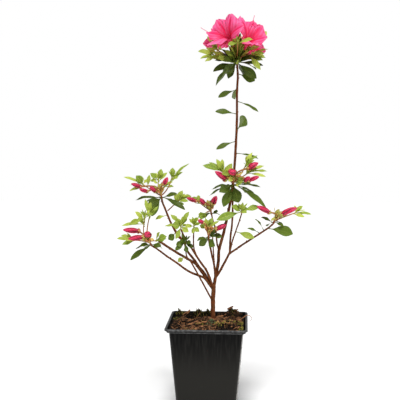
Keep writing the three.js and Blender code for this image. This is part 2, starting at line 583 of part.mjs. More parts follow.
function makeWood() {
  const limbs = BRANCHES.map(({ points, from, to, sides }) => {
    const steps = Math.max(4, points.length - 1);
    const course = branchCourse(points, steps);
    const radii = course.map((_, i) => from + (to - from) * i / steps);
    keep(branchCourse(points, 8 * points.length).map((point, i, all) => (
      { point, radius: from + (to - from) * i / (all.length - 1) + GAP })), 'wood');
    return tube(course, radii, sides);
  });
  return join(limbs);
}

// Leaves

// The line and the cross directions of a blade, from its foot to its tip
function bladeFrame(foot, tip, face) {
  const ahead = tip.clone().sub(foot);
  const length = ahead.length();
  ahead.normalize();
  const up = new THREE.Vector3(0, 0, 1).addScaledVector(ahead, -ahead.z);
  if (up.length() < 0.05) up.set(0, -1, 0);
  up.normalize();
  const sideways = new THREE.Vector3().crossVectors(ahead, up);
  if (sideways.y > 0) sideways.negate();
  const turn = (face + FACE_LEAN) * Math.PI / 180;
  const normal = up.multiplyScalar(Math.cos(turn)).addScaledVector(sideways, Math.sin(turn));
  const side = new THREE.Vector3().crossVectors(normal, ahead);
  return { foot, tip, length, normal, side };
}

function bladeMiddle(frame, t) {
  const arch = BLADE_ARCH * frame.length * 4 * t * (1 - t);
  return along(frame.foot, frame.tip, t).addScaledVector(frame.normal, arch);
}

// The half width of a blade as a share of its greatest half width: a short stalk, then the widest place past
// the middle
function bladeShare(t) {
  const s = Math.max(0, (t - STALK_SHARE) / (1 - STALK_SHARE));
  return BROADER * Math.max(0.1 * (1 - t), Math.sin(Math.PI * Math.min(1, s) ** 1.5) ** 0.75);
}

function blade(foot, tip, width, face) {
  const frame = bladeFrame(foot, tip, face);
  const stations = width >= LARGE_LEAF ? LARGE_BLADE_STATIONS : SMALL_BLADE_STATIONS;
  const rings = [0, ...stations].map((t) => {
    const half = t === 0 ? STALK_WIDTH / 2 : width / 2 * bladeShare(t);
    const depth = t === 0 ? STALK_WIDTH : BLADE_THICKNESS;
    const upper = bladeMiddle(frame, t).addScaledVector(frame.normal, depth / 3);
    return [
      upper.clone().addScaledVector(frame.side, half),
      upper.clone().addScaledVector(frame.side, -half),
      upper.addScaledVector(frame.normal, -depth),
    ];
  });
  return loft([...rings, [frame.tip]]);
}

function bladeSamples(foot, tip, width, face) {
  const frame = bladeFrame(foot, tip, face);
  const samples = [];
  for (const t of [0.3, 0.45, 0.6, 0.75, 0.9, 1]) {
    const middle = bladeMiddle(frame, t);
    const half = width / 2 * bladeShare(t) * 0.8;
    samples.push({ point: middle, radius: BLADE_REACH });
    if (half > 2) {
      samples.push({ point: middle.clone().addScaledVector(frame.side, half), radius: BLADE_REACH });
      samples.push({ point: middle.clone().addScaledVector(frame.side, -half), radius: BLADE_REACH });
    }
  }
  return samples;
}

// Adds one leaf if it finds a clear place, near the one it was given. A leaf that stands alone always stays,
// and a shy leaf keeps clear of its own node's parts too.
function growLeaf(solids, foot, leaf, at, node, shy = false) {
  const [x, y, z, width, face] = leaf;
  const tip = new THREE.Vector3(x, y, z).add(at);
  const alone = solids.length === 0 ? 0 : null;
  const sampler = (degrees) => bladeSamples(foot, turned(tip, foot, degrees), width, face);
  const angle = clearTurn(sampler, shy ? null : node) ?? alone;
  if (angle === null) return;
  const place = turned(tip, foot, angle);
  keep(bladeSamples(foot, place, width, face), node);
  solids.push(blade(foot, place, width, face));
}

// A thin stem that leaves its foot along the axis and bends over to its end
function stemCourse(foot, axis, end, steps) {
  const bend = foot.clone().addScaledVector(axis, end.distanceTo(foot) * STEM_BEND);
  return Array.from({ length: steps + 1 }, (_, i) => bezier(foot, bend, end, i / steps));
}

function stemSamples(course, radius) {
  return course.slice(2).map((point) => ({ point, radius: radius + GAP }));
}

function growStem(solids, foot, axis, end, node) {
  const sampler = (degrees) => {
    const course = stemCourse(foot, axis, turned(end, foot, degrees), 6);
    return stemSamples(course, STEM_RADIUS);
  };
  const angle = clearTurn(sampler, node) ?? 0;
  const course = stemCourse(foot, axis, turned(end, foot, angle), 2);
  keep(sampler(angle), node);
  solids.push(tube(course, course.map(() => STEM_RADIUS), 3));
  return { course, angle };
}

// A short length of twig that holds a node's leaves together
function core(at, axis, from, to, radius) {
  const ends = [from, to].map((far) => at.clone().addScaledVector(axis, far));
  return tube(ends, [radius, radius], 6);
}

// A place beside a twig's middle, on the side that an offset points to
function beside(middle, offset, distance) {
  return middle.clone().addScaledVector(new THREE.Vector3(offset[0], offset[1], 0).normalize(), distance);
}

// Seeded random numbers
function makeDraw(seed) {
  let state = seed;
  return (from, to) => {
    state = (state * 16807) % 2147483647;
    return from + (to - from) * state / 2147483647;
  };
}

// Small leaves about a shoot's end, wherever there is room
function growFillers(solids, places, count, at, node) {
  const draw = makeDraw(FILLER_SEED + node.length);
  for (let i = 0; i < count; i += 1) {
    const foot = places[i % places.length];
    const angle = draw(0, 2 * Math.PI);
    const length = draw(...FILLER_LENGTH);
    const rise = draw(-0.2, 0.9);
    const tip = new THREE.Vector3(Math.cos(angle), Math.sin(angle), rise);
    tip.setLength(length).add(foot).sub(at);
    growLeaf(solids, foot, [tip.x, tip.y, tip.z, draw(...FILLER_WIDTH), draw(0, 45)], at, node, true);
  }
}

// Where each kind of growth sits on a tip, as distances from the wood's end
const OLD_CORE = [0.4, 3.6];
const YOUNG_CORE = [3.95, 8.6];
const BUD_CORE = [8.95, 12.4];
const TOP_CORE_END = 14.5;

function makeOldLeaves(tip) {
  const node = `${tip.name}_old_leaves`;
  const at = vec(tip.at);
  const axis = vec(tip.axis).normalize();
  const [from, to] = OLD_CORE;
  const solids = [core(at, axis, from, to, OLD_CORE_RADIUS)];
  tip.old.forEach((leaf, i) => {
    const rise = from + 1 + (to - from - 1.6) * (i * SPREAD % 1);
    growLeaf(solids, beside(at.clone().addScaledVector(axis, rise), leaf, 0.9), leaf, at, node);
  });
  return { node, solid: join(solids), colour: 'old' };
}

function makeYoungShoots(tip) {
  const node = `${tip.name}_young_shoots`;
  const at = vec(tip.at);
  const axis = vec(tip.axis).normalize();
  const [from, to] = YOUNG_CORE;
  const ends = [];
  const solids = [core(at, axis, from, tip.buds.length > 0 ? to : TOP_CORE_END, CORE_RADIUS)];
  tip.shoots.forEach((shoot, i) => {
    const rise = from + 1 + (to - from - 2) * (i * SPREAD % 1);
    const foot = beside(at.clone().addScaledVector(axis, rise), shoot.end, 0.8);
    const outward = new THREE.Vector3(shoot.end[0], shoot.end[1], 0).normalize();
    const start = outward.addScaledVector(axis, STEM_OUTWARD_RISE).normalize();
    const stem = growStem(solids, foot, start, vec(shoot.end).add(at), node);
    const fromEnd = (share) => along(stem.course.at(-1), stem.course.at(-2), share);
    shoot.leaves.forEach((leaf, j) => {
      const tipPlace = turned(vec(leaf).add(at), foot, stem.angle).sub(at);
      const moved = [...tipPlace.toArray(), leaf[3], leaf[4]];
      growLeaf(solids, fromEnd(FIRST_LEAF_BACK + LEAF_SPACING * j), moved, at, node);
    });
    ends.push(fromEnd(FIRST_LEAF_BACK / 2));
  });
  growFillers(solids, ends, FILLERS * ends.length, at, node);
  return { node, solid: join(solids), colour: 'young' };
}

// Buds: a pointed oval on a stalk, with a few pale scales at the tip's middle

const BUD_PROFILE = [[0, 0.45], [0.36, 1], [0.78, 0.75], [1, 0.15]];

function budSolid(base, point, thickness) {
  const rings = BUD_PROFILE.map(([t]) => along(base, point, t));
  return tube(rings, BUD_PROFILE.map(([, share]) => share * thickness / 2), 5);
}

function makeBuds(tip) {
  const node = `${tip.name}_buds`;
  const at = vec(tip.at);
  const axis = vec(tip.axis).normalize();
  const [from, to] = BUD_CORE;
  const solids = [core(at, axis, from, to, CORE_RADIUS)];
  const foot = at.clone().addScaledVector(axis, (from + to) / 2);
  tip.buds.forEach(([bx, by, bz, tx, ty, tz, thickness]) => {
    const base = new THREE.Vector3(bx, by, bz).add(at);
    const point = new THREE.Vector3(tx, ty, tz).add(at);
    solids.push(tube(stemCourse(foot, axis, along(base, point, 0.1), 2), [1, 1, 1.1], 3));
    solids.push(budSolid(base, point, thickness));
    keep(stemSamples(stemCourse(foot, axis, base, 6), 0.9), node);
    const radius = thickness / 2 * 0.9;
    keep([0.1, 0.3, 0.5, 0.7, 0.9].map((t) => ({ point: along(base, point, t), radius })), node);
  });
  tip.scales.forEach(([x, y, z, width]) => {
    const scaleTip = new THREE.Vector3(x, y, z).add(at);
    keep(bladeSamples(foot, scaleTip, width, 30), node);
    solids.push(blade(foot, scaleTip, width, 30));
  });
  return { node, solid: join(solids), colour: 'bud' };
}

// A shoot or a single leaf on the side of the wood

// The place on the bark nearest to the given one. A place at a branch's end stays as it is.
function barkFoot(at) {
  const wood = places.filter((place) => place.node === 'wood');
  const nearest = wood.reduce((best, place) => (
    place.point.distanceTo(at) < best.point.distanceTo(at) ? place : best));
  const away = at.clone().sub(nearest.point);
  if (away.length() < 1) return at.clone();
  return away.setLength(nearest.radius).add(nearest.point);
}

function makeSideShoot(shoot) {
  const node = shoot.name;
  const at = vec(shoot.at);
  const axis = vec(shoot.axis).normalize();
  const lone = shoot.leaves.length === 1;
  const foot = barkFoot(at).addScaledVector(axis, lone ? 0.05 : 0.35);
  const end = vec(shoot.end).add(foot);
  const solids = [];
  if (!lone) {
    solids.push(tube([foot, end], [ROSETTE_STEM_RADIUS, ROSETTE_STEM_RADIUS], 4));
    keep(stemSamples(stemCourse(foot, axis, end, 6), 0.8), node);
  }
  shoot.leaves.forEach((leaf, i) => {
    const share = lone ? 0 : 0.95 - 0.7 * i / shoot.leaves.length;
    growLeaf(solids, along(foot, end, share), leaf, at, node);
  });
  if (shoot.leaves.length > 4) growFillers(solids, [along(foot, end, 0.97)], ROSETTE_FILLERS, at, node);
  return { node, solid: join(solids), colour: shoot.dark ? 'old' : 'young' };
}

// Blooms: a stalk, a tube that widens into the throat, five broad petals, stamens and a long pistil

function petalFrame(throat, facing, tip, width) {
  const side = new THREE.Vector3().crossVectors(facing, tip).normalize();
  const length = tip.length();
  const outward = new THREE.Vector3().crossVectors(side, facing).normalize();
  const foot = throat.clone().addScaledVector(outward, PETAL_FOOT_OUT).addScaledVector(facing, -2);
  const bend = throat.clone().addScaledVector(facing, PETAL_BEND * length).addScaledVector(outward, 2);
  return { side, foot, bend, end: throat.clone().add(tip), width };
}

// A place on a petal: t runs from foot to tip and u from edge to edge
function petalPoint(frame, t, u, share) {
  const middle = bezier(frame.foot, frame.bend, frame.end, t);
  const ahead = bezier(frame.foot, frame.bend, frame.end, t + 0.01).sub(middle).normalize();
  const normal = new THREE.Vector3().crossVectors(ahead, frame.side).normalize();
  const half = frame.width / 2 * share;
  const cup = -PETAL_DROOP * half * u * u + PETAL_RUFFLE * u * Math.min(1, 2 * t);
  const past = Math.max(0, t - 0.8) / 0.2;
  const round = -PETAL_ROUNDING * frame.end.distanceTo(frame.foot) * u * u * past;
  middle.addScaledVector(frame.side, half * u).addScaledVector(normal, cup).addScaledVector(ahead, round);
  return { point: middle, normal };
}

function petal(frame) {
  const grid = PETAL_STATIONS.map(([t, share]) => PETAL_COLUMNS.map((u) => petalPoint(frame, t, u, share)));
  return sharpSheet(grid, PETAL_THICKNESS);
}

// The part of the corolla below its lobes: it widens from the calyx, and is dished at its mouth
function funnel(calyx, throat, facing) {
  const middles = [calyx, throat, throat.clone().addScaledVector(facing, FUNNEL_MOUTH)];
  const outside = ringsOn(middles, facing, FUNNEL_RADII);
  const dish = throat.clone().addScaledVector(facing, FUNNEL_DISH);
  return loft([...outside, [dish]]);
}

function ringsOn(middles, facing, radii) {
  const side = new THREE.Vector3(facing.y, -facing.x, 0).normalize();
  return middles.map((middle, i) => Array.from({ length: FUNNEL_SIDES }, (_, k) => {
    const out = side.clone().applyAxisAngle(facing, 2 * Math.PI * k / FUNNEL_SIDES);
    return middle.clone().addScaledVector(out, radii[i]);
  }));
}

function makeBloom(bloom, index) {
  const node = `bloom_${index + 1}`;
  const throat = vec(bloom.throat);
  const facing = vec(bloom.facing).normalize();
  const base = vec(BLOOM_BASE);
  const calyx = throat.clone().addScaledVector(facing, -FUNNEL_LENGTH);
  const outward = calyx.clone().sub(base).normalize();
  const foot = beside(base, outward.toArray(), BLOOM_FOOT_OUT);
  const solids = [
    tube([foot, calyx.clone().addScaledVector(facing, 1)], BLOOM_STALK_RADII, 5),
    funnel(calyx, throat, facing),
  ];
  bloom.petals.forEach((offset) => {
    const frame = petalFrame(throat, facing, vec(offset), bloom.width);
    solids.push(petal(frame));
    for (const [t, share] of [...PETAL_STATIONS.slice(1), [0.62, 0.8], [0.83, 0.95]]) {
      for (const u of [-0.9, -0.45, 0, 0.45, 0.9]) {
        keep([{ point: petalPoint(frame, t, u, share).point, radius: 2.4 }], node);
      }
    }
  });
  keep(stemSamples(stemCourse(foot, outward, calyx, 6), 1), node);
  keep([0, 0.3, 0.6, 0.9].map((t) => ({ point: along(calyx, throat, t), radius: 1.6 + 2.4 * t })), node);
  const sideways = new THREE.Vector3(facing.y, -facing.x, 0).normalize();
  for (let i = 0; i <= STAMENS; i += 1) {
    const pistil = i === STAMENS;
    const lean = sideways.clone().applyAxisAngle(facing, 2 * Math.PI * i / STAMENS);
    const end = throat.clone().addScaledVector(facing, STAMEN_REACH[i % STAMEN_REACH.length]);
    end.addScaledVector(lean, STAMEN_LEAN);
    end.z += STAMEN_RISE;
    if (pistil) end.copy(throat).add(vec(bloom.pistil));
    const start = throat.clone().addScaledVector(facing, 0.5).addScaledVector(lean, 1.5);
    solids.push(tube([start, end], STAMEN_RADII, 3));
    keep([0.4, 0.7, 1].map((t) => ({ point: along(start, end, t), radius: 0.8 })), node);
  }
  return { node, solid: join(solids), colour: 'petal' };
}

// The whole plant: blooms and buds first, then the leaves find their places among them

function meshFrom({ node, solid, colour }) {
  const { vertProperties, triVerts } = solid.getMesh();
  const geometry = new THREE.BufferGeometry();
  geometry.setAttribute('position', new THREE.BufferAttribute(vertProperties, 3));
  geometry.setIndex(new THREE.BufferAttribute(triVerts, 1));
  geometry.computeVertexNormals();
  const material = new THREE.MeshStandardMaterial({ metalness: 0, ...COLOURS[colour] });
  const mesh = new THREE.Mesh(geometry, material);
  mesh.name = node;
  return mesh;
}

const azalea = new THREE.Group();

[
  { node: 'pot', solid: makePot(), colour: 'pot' },
  { node: 'soil', solid: makeSoil(), colour: 'soil' },
  { node: 'trunk_and_branches', solid: makeWood(), colour: 'bark' },
  ...BLOOMS.map(makeBloom),
  ...TIPS.filter((tip) => tip.buds.length > 0).map(makeBuds),
  ...SIDE_SHOOTS.map(makeSideShoot),
  ...TIPS.map(makeOldLeaves),
  ...TIPS.map(makeYoungShoots),
].forEach((part) => azalea.add(meshFrom(part)));

export default azalea;
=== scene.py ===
"""The looks of a young potted azalea in bloom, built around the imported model.

Lengths in the lists and in the shape functions are millimetres, +Z up, with the origin in the middle of the
pot's underside and the viewer on the -Y side. Form.piece turns them into metres. The lists of branches, tips,
side shoots and blooms repeat those of the part's source, and so do the rules that place the leaves, so that
each fine piece stands where its solid is.
"""

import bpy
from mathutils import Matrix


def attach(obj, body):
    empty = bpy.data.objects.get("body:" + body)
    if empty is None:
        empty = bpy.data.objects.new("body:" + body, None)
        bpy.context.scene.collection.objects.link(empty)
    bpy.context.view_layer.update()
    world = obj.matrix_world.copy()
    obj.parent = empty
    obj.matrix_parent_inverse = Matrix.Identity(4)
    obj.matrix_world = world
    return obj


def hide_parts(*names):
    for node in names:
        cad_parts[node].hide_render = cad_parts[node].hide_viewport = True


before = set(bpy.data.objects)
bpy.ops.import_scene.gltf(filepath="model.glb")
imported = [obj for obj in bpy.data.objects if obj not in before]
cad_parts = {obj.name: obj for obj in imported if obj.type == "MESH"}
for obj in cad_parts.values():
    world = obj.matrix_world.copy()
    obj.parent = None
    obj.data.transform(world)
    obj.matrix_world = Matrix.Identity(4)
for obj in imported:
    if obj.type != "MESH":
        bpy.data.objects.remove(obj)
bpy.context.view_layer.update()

import math

import bpy
import numpy as np
from mathutils import Vector

# The camera, in metres and degrees, as fitted to the pot's rim in the photo
CAMERA_AT = (0.051, -0.9663, 0.3609)
CAMERA_LEFT_TURN = 3.66
CAMERA_DOWN_TILT = 4.38
CAMERA_LENS = 64.0
SENSOR_WIDTH = 36.0

# The pot's driving dimensions
RIM_WIDTH = 110
POT_HEIGHT = 120
BODY_TOP_WIDTH = 99
BASE_WIDTH = 79
CORNER_RADIUS = 7
RIM_BAND = 5.5
WALL = 1.6
DRAIN_HOLE_RADIUS = 4
DRAIN_HOLE_PLACE = 24
RIM_GROOVE_DROP = 2.8
RIM_GROOVE_DEPTH = 2.3
FOOT_BEVEL = 1.5
LIP_BEVEL = 0.7

# The soil's driving dimensions
SOIL_LEVEL = 115.5
SOIL_MOUND = 5.5
SOIL_MOUND_SPREAD = 500
SOIL_ROOM = 0.8
SOIL_SHOULDER = 115.7
SOIL_SHOULDER_WIDTH = 99.8
SOIL_SHOULDER_DROP = 3.1
SOIL_CORNER_RADIUS = 7
TRUNK_AT = (7, 4)
GAP = 0.3

# Leaf blades
BROADER = 1.3
FACE_LEAN = 22
BLADE_ARCH = 0.07
STALK_SHARE = 0.12
STALK_HALF = 0.45

# Shoots
STEM_RADIUS = 1.15
STEM_BEND = 0.4
LONE_LEAF_OUT = 0.05
SIDE_SHOOT_OUT = 0.35
STEM_OUTWARD_RISE = 0.6
SPREAD = 0.618
FIRST_LEAF_BACK = 0.08
LEAF_SPACING = 0.11
OLD_CORE = (0.4, 3.6)
YOUNG_CORE = (3.95, 8.6)
BUD_CORE = (8.95, 12.4)
TOP_CORE_END = 14.5
SCALE_FACE = 30

# How far parts of different nodes keep apart, and the turns tried to get there
BLADE_REACH = 1.7
TURN_STEP = 11
TURNS = 8

# Small leaves that fill out every shoot
FILLER_SEED = 11
FILLERS = 1
ROSETTE_FILLERS = 3
FILLER_LENGTH = (10, 15)
FILLER_WIDTH = (5, 6.5)

# Branches: the radius at the start and at the end, and the points that the wood runs through
BRANCHES = [
    (3.5, 3.2, [(7, 4, 84), (7, 4, 112), (7, 4, 124), (7, 4, 148), (8, 4, 167)]),
    (2.5, 1.5, [(8, 4, 166), (11, 5, 183), (14, 7, 199), (15, 8, 217), (19, 10, 232), (23, 12, 248),
        (27, 14, 267), (31, 15, 287), (33, 15, 304), (36, 14, 334), (38, 10, 369), (39, 7, 396), (39, 5, 431),
        (40, 4, 454), (39, 4, 470)]),
    (1.9, 1.2, [(6, 4, 164), (-4, 1, 178), (-13, -2, 183), (-22, -5, 187), (-32, -10, 194), (-40, -14, 201),
        (-54, -21, 212), (-67, -27, 223), (-73, -30, 227)]),
    (2.0, 1.7, [(6, 4, 164), (-6, 4, 183), (-11, 3, 190), (-18, 2, 199), (-32, -1, 208), (-48, -4, 218),
        (-58, -6, 225), (-67, -8, 231)]),
    (2.0, 1.4, [(6, 5, 164), (-5, 7, 184), (-12, 9, 192), (-21, 12, 204), (-30, 14, 215), (-34, 16, 226),
        (-43, 18, 236), (-53, 20, 253), (-59, 22, 267), (-65, 24, 281), (-66, 24, 286)]),
    (1.9, 1.1, [(7, 3, 165), (2, 1, 180), (-2, -1, 190), (-8, -3, 199), (-15, -6, 210), (-22, -9, 222),
        (-27, -11, 228), (-33, -12, 241), (-36, -12, 248)]),
    (1.1, 0.9, [(-15, -6, 210), (-19, -7, 224), (-19, -6, 248)]),
    (1.3, 0.9, [(6, 3, 147), (-11, -5, 181), (-23, -11, 204), (-28, -13, 211), (-30, -14, 226)]),
    (1.7, 1.2, [(10, 5, 178), (9, 1, 195), (6, -8, 212), (3, -18, 230), (2, -20, 236)]),
    (1.0, 0.9, [(9, 1, 193), (8, -4, 214), (7, -8, 234)]),
    (1.3, 1.1, [(15, 8, 216), (12, 13, 226), (10, 18, 243), (6, 22, 256), (4, 24, 264)]),
    (1.9, 1.6, [(10, 5, 178), (15, 3, 186), (22, 0, 199), (30, -4, 215)]),
    (1.5, 1.2, [(30, -4, 214), (46, -9, 226), (63, -14, 238), (80, -19, 250), (88, -22, 257)]),
    (1.5, 1.2, [(30, -4, 213), (31, -8, 236), (33, -12, 253), (34, -14, 269), (34, -15, 285),
        (35, -16, 306)]),
    (1.1, 0.9, [(30, -4, 213), (33, -8, 229), (38, -14, 245), (42, -20, 257), (46, -24, 270)]),
]

# Tips. Each place is measured from the tip: a leaf is x, y and z of its end, its width and its turn, a shoot
# is its end and its leaves, a bud is its foot, its point and its thickness, and a scale is its end and width.
TIPS = [
    {
        "name": "top", "at": (39, 4, 470), "axis": (0, 0, 1),
        "old": [(-32, -8, -10, 9, 30), (-17, -14, -13, 11, 50), (-12, -4, -19, 9, 30), (-29, 5, -28, 8, -50),
            (35, -6, -2, 8, 15), (26, -9, -20, 10, 50), (-20, 22, -8, 9, 0), (9, 26, -11, 9, 0),
            (26, 20, -5, 9, 0), (-6, 25, -3, 8, 0), (38, -5, 9, 8, 15), (22, -18, 8, 8, 25),
            (4, -23, 7, 9, 45), (-16, -18, 6, 9, 35), (-30, -3, 5, 9, 20), (-10, -19, 15, 8, 45),
            (12, -19, 15, 8, 40)],
        "shoots": [
            ((-30, -6, 11), [(-52, -10, 17, 8, 30), (-50, -1, 8, 7, 20), (-43, -12, 3, 6, 20),
                (-42, -4, 22, 6, 30)]),
            ((-13, -14, 9), [(-28, -20, 8, 8, 40), (-22, -28, 13, 7, 30), (-13, -28, 5, 7, 40)]),
            ((1, -26, 26), [(-12, -34, 21, 6, 30), (20, -43, 27, 7, 30), (3, -22, 39, 7, 60)]),
            ((23, -8, 12), [(37, -12, 7, 7, 20), (36, -2, 14, 6, 20), (42, -8, 19, 6, 10),
                (30, -20, 11, 7, 30), (34, 0, -9, 7, 40)]),
            ((30, 10, 34), [(40, 4, 46, 7, 40), (36, 18, 44, 6, 0)]),
            ((-27, 8, 20), [(-41, 4, 38, 8, 40), (-37, 16, 30, 7, 0)]),
            ((3, 24, 12), [(8, 42, 14, 7, 0), (-9, 38, 16, 7, 0)]),
            ((14, -13, 9), [(31, -17, 12, 8, 25), (24, -26, 6, 7, 35)]),
            ((12, 4, 17), [(30, 2, 24, 8, 20)]),
        ],
        "buds": [],
        "scales": [],
    },
    {
        "name": "middle", "at": (35, -16, 306), "axis": (0, 0, 1),
        "old": [(-26, -4, -1, 9, -10), (-18, -16, -6, 10, 40), (-30, 8, -4, 6, 0), (-33, 4, -13, 6, 0),
            (7, -12, -20, 14, 30), (36, -6, 0, 8, -10), (30, 6, -12, 7, 0), (-13, -12, -26, 10, 20),
            (42, -14, -28, 8, 20), (-18, 22, -5, 8, 0), (16, 22, -9, 9, 0), (26, 18, 2, 8, 0)],
        "shoots": [
            ((-15, 2, 20), [(-41, 0, 29, 8, 30), (-33, 6, 33, 6, 20), (-23, 4, 37, 6, 40),
                (-16, 10, 37, 6, 30), (-2, 4, 31, 7, 30)]),
            ((-6, -9, 15), [(-14, -26, 18, 8, 20), (6, -22, 9, 6, 30)]),
            ((4, -6, 6), [(16, -20, 9, 10, 60)]),
            ((17, 8, 30), [(18, 10, 38, 6, 60), (32, 6, 42, 5, 20), (25, 12, 46, 5, 20), (28, 18, 36, 5, 0)]),
            ((22, 2, 20), [(45, 2, 21, 5, 10), (41, 8, 28, 5, 20), (43, -6, 14, 5, 20), (31, -4, 25, 7, 30),
                (18, -6, 26, 7, 40)]),
            ((-4, 12, 16), [(-14, 24, 22, 6, 0), (2, 24, 26, 6, 0)]),
        ],
        "buds": [(-9, -12, 9, -24, -18, 21, 7.5), (2, -14, 18, -5, -28, 22, 9), (18, -4, 24, 33, -5, 32, 8),
            (15, -14, 8, 22, -26, 14, 6), (20, -10, 8, 34, -14, 14, 6), (-2, 16, 14, -12, 28, 24, 7)],
        "scales": [(13, -2, 20, 4), (-12, -6, 14, 4)],
    },
    {
        "name": "upper_left", "at": (-66, 24, 286), "axis": (-0.2, 0, 0.98),
        "old": [(-18, -14, -8, 11, 50), (-13, -12, -23, 9, 20), (-38, 2, -2, 8, 0), (40, -7, -12, 8, 10),
            (28, 8, -9, 7, -10), (22, -6, 8, 7, 20), (-14, 24, -5, 8, 0), (12, 26, -7, 8, 0),
            (-28, 15, -9, 8, 0)],
        "shoots": [
            ((-28, 3, 21), [(-36, 0, 33, 9, 60), (-54, 0, 31, 5, 20), (-47, 8, 19, 5, 0),
                (-45, -6, 12, 5, 20), (-18, 4, 34, 5, 40)]),
            ((-6, 9, 27), [(-17, 6, 36, 8, 30), (-2, 12, 42, 7, 40), (6, 14, 37, 6, 20),
                (-12, 0, 25, 6, 30)]),
            ((14, 2, 30), [(15, 4, 44, 7, 40), (29, 4, 38, 6, 20), (39, -2, 50, 5, 20), (24, -6, 32, 7, 30)]),
            ((2, 18, 16), [(-6, 32, 20, 7, 0), (12, 30, 24, 6, 0)]),
        ],
        "buds": [(-28, -6, 17, -42, -8, 22, 6), (-18, -12, 11, -29, -18, 15, 6),
            (-8, -10, 11, -14, -20, 18, 6), (2, -6, 20, 9, -8, 31, 7)],
        "scales": [(-13, -3, 17, 4), (-4, -12, 14, 3)],
    },
    {
        "name": "lower_left", "at": (-73, -30, 227), "axis": (-0.5, -0.2, 0.84),
        "old": [(-28, -9, -18, 7, 30), (13, -8, 1, 7, 30), (-16, 2, 1, 6, 20), (-11, 22, -7, 8, 0),
            (12, 20, -6, 7, 0), (-25, 12, -6, 7, 0)],
        "shoots": [
            ((-10, 4, 38), [(-31, 0, 29, 7, 40), (-23, 4, 46, 6, 30), (-14, -6, 47, 8, 50),
                (-42, 4, 27, 5, 20), (-20, 14, 38, 6, 0)]),
            ((-4, 12, 42), [(-3, 12, 58, 6, 30), (-11, 14, 62, 5, 30), (6, 18, 52, 5, 0)]),
            ((-25, -2, 8), [(-47, -2, 10, 6, 20), (-43, 6, 14, 5, 10), (-39, -8, 3, 6, 30),
                (-36, -12, 11, 6, 40), (-38, 12, 5, 5, 0)]),
            ((7, -2, 7), [(20, -6, 14, 10, 40), (11, -4, 20, 6, 30), (18, 8, 12, 6, 0)]),
        ],
        "buds": [(-15, -8, 21, -37, -12, 23, 7.5), (-9, -14, 14, -29, -20, 12, 7.5),
            (-2, -12, 16, -5, -26, 19, 8.5)],
        "scales": [(-7, -9, 8, 4), (-1, -8, 9, 4), (3, -3, 9, 4)],
    },
    {
        "name": "inner_back", "at": (4, 24, 264), "axis": (-0.2, 0, 0.98),
        "old": [(9, -9, 6, 6, 30), (-12, 16, -3, 7, 0), (10, 18, -1, 7, 0), (-15, -6, -4, 7, 20)],
        "shoots": [
            ((-9, -8, 2), [(-17, -18, -1, 9, 50), (-8, -20, 2, 6, 30)]),
            ((-18, 5, 17), [(-31, 8, 24, 6, 20), (-20, 10, 27, 6, 30), (-24, 14, 14, 6, 0)]),
        ],
        "buds": [(-21, 0, 19, -35, -2, 24, 6), (-9, -4, 14, -16, -6, 24, 6.5), (1, -4, 15, 7, -6, 27, 8.5)],
        "scales": [(-6, -2, 13, 5), (3, -2, 10, 4)],
    },
    {
        "name": "inner_front", "at": (2, -20, 236), "axis": (0, 0, 1),
        "old": [(9, -13, -8, 10, 60), (-12, -10, -8, 8, 50), (17, -2, 6, 6, 20), (-8, 18, -5, 7, 0),
            (9, 16, -7, 7, 0), (-16, 4, -3, 7, 10)],
        "shoots": [
            ((-2, 3, 15), [(-12, 0, 18, 7, 40), (-4, 4, 27, 6, 40), (5, 6, 28, 6, 40), (14, 4, 24, 5, 20),
                (-3, 16, 20, 6, 0)]),
        ],
        "buds": [(-6, -4, 22, -14, -6, 26, 5.5), (10, -6, 14, 24, -9, 21, 7)],
        "scales": [(-6, -6, 17, 4), (2, -7, 13, 4)],
    },
    {
        "name": "right", "at": (88, -22, 257.2), "axis": (0.4, -0.1, 0.9),
        "old": [(-16, -3, 9, 5, 20), (14, -2, -2, 5, 20), (-7, 19, -5, 8, 0), (9, 17, 1, 7, 0)],
        "shoots": [
            ((30, 1, 15), [(39, 2, 24, 5, 30), (51, 2, 13, 5, 20), (41, -4, 10, 5, 30)]),
            ((10, 12, 8), [(20, 22, 12, 6, 0), (6, 26, 12, 6, 0)]),
        ],
        "buds": [(-4, -5, 15, -22, -9, 24, 7), (9, -6, 12, 31, -9, 22, 8)],
        "scales": [(3, -3, 12, 4), (-3, -8, 5, 3)],
    },
]

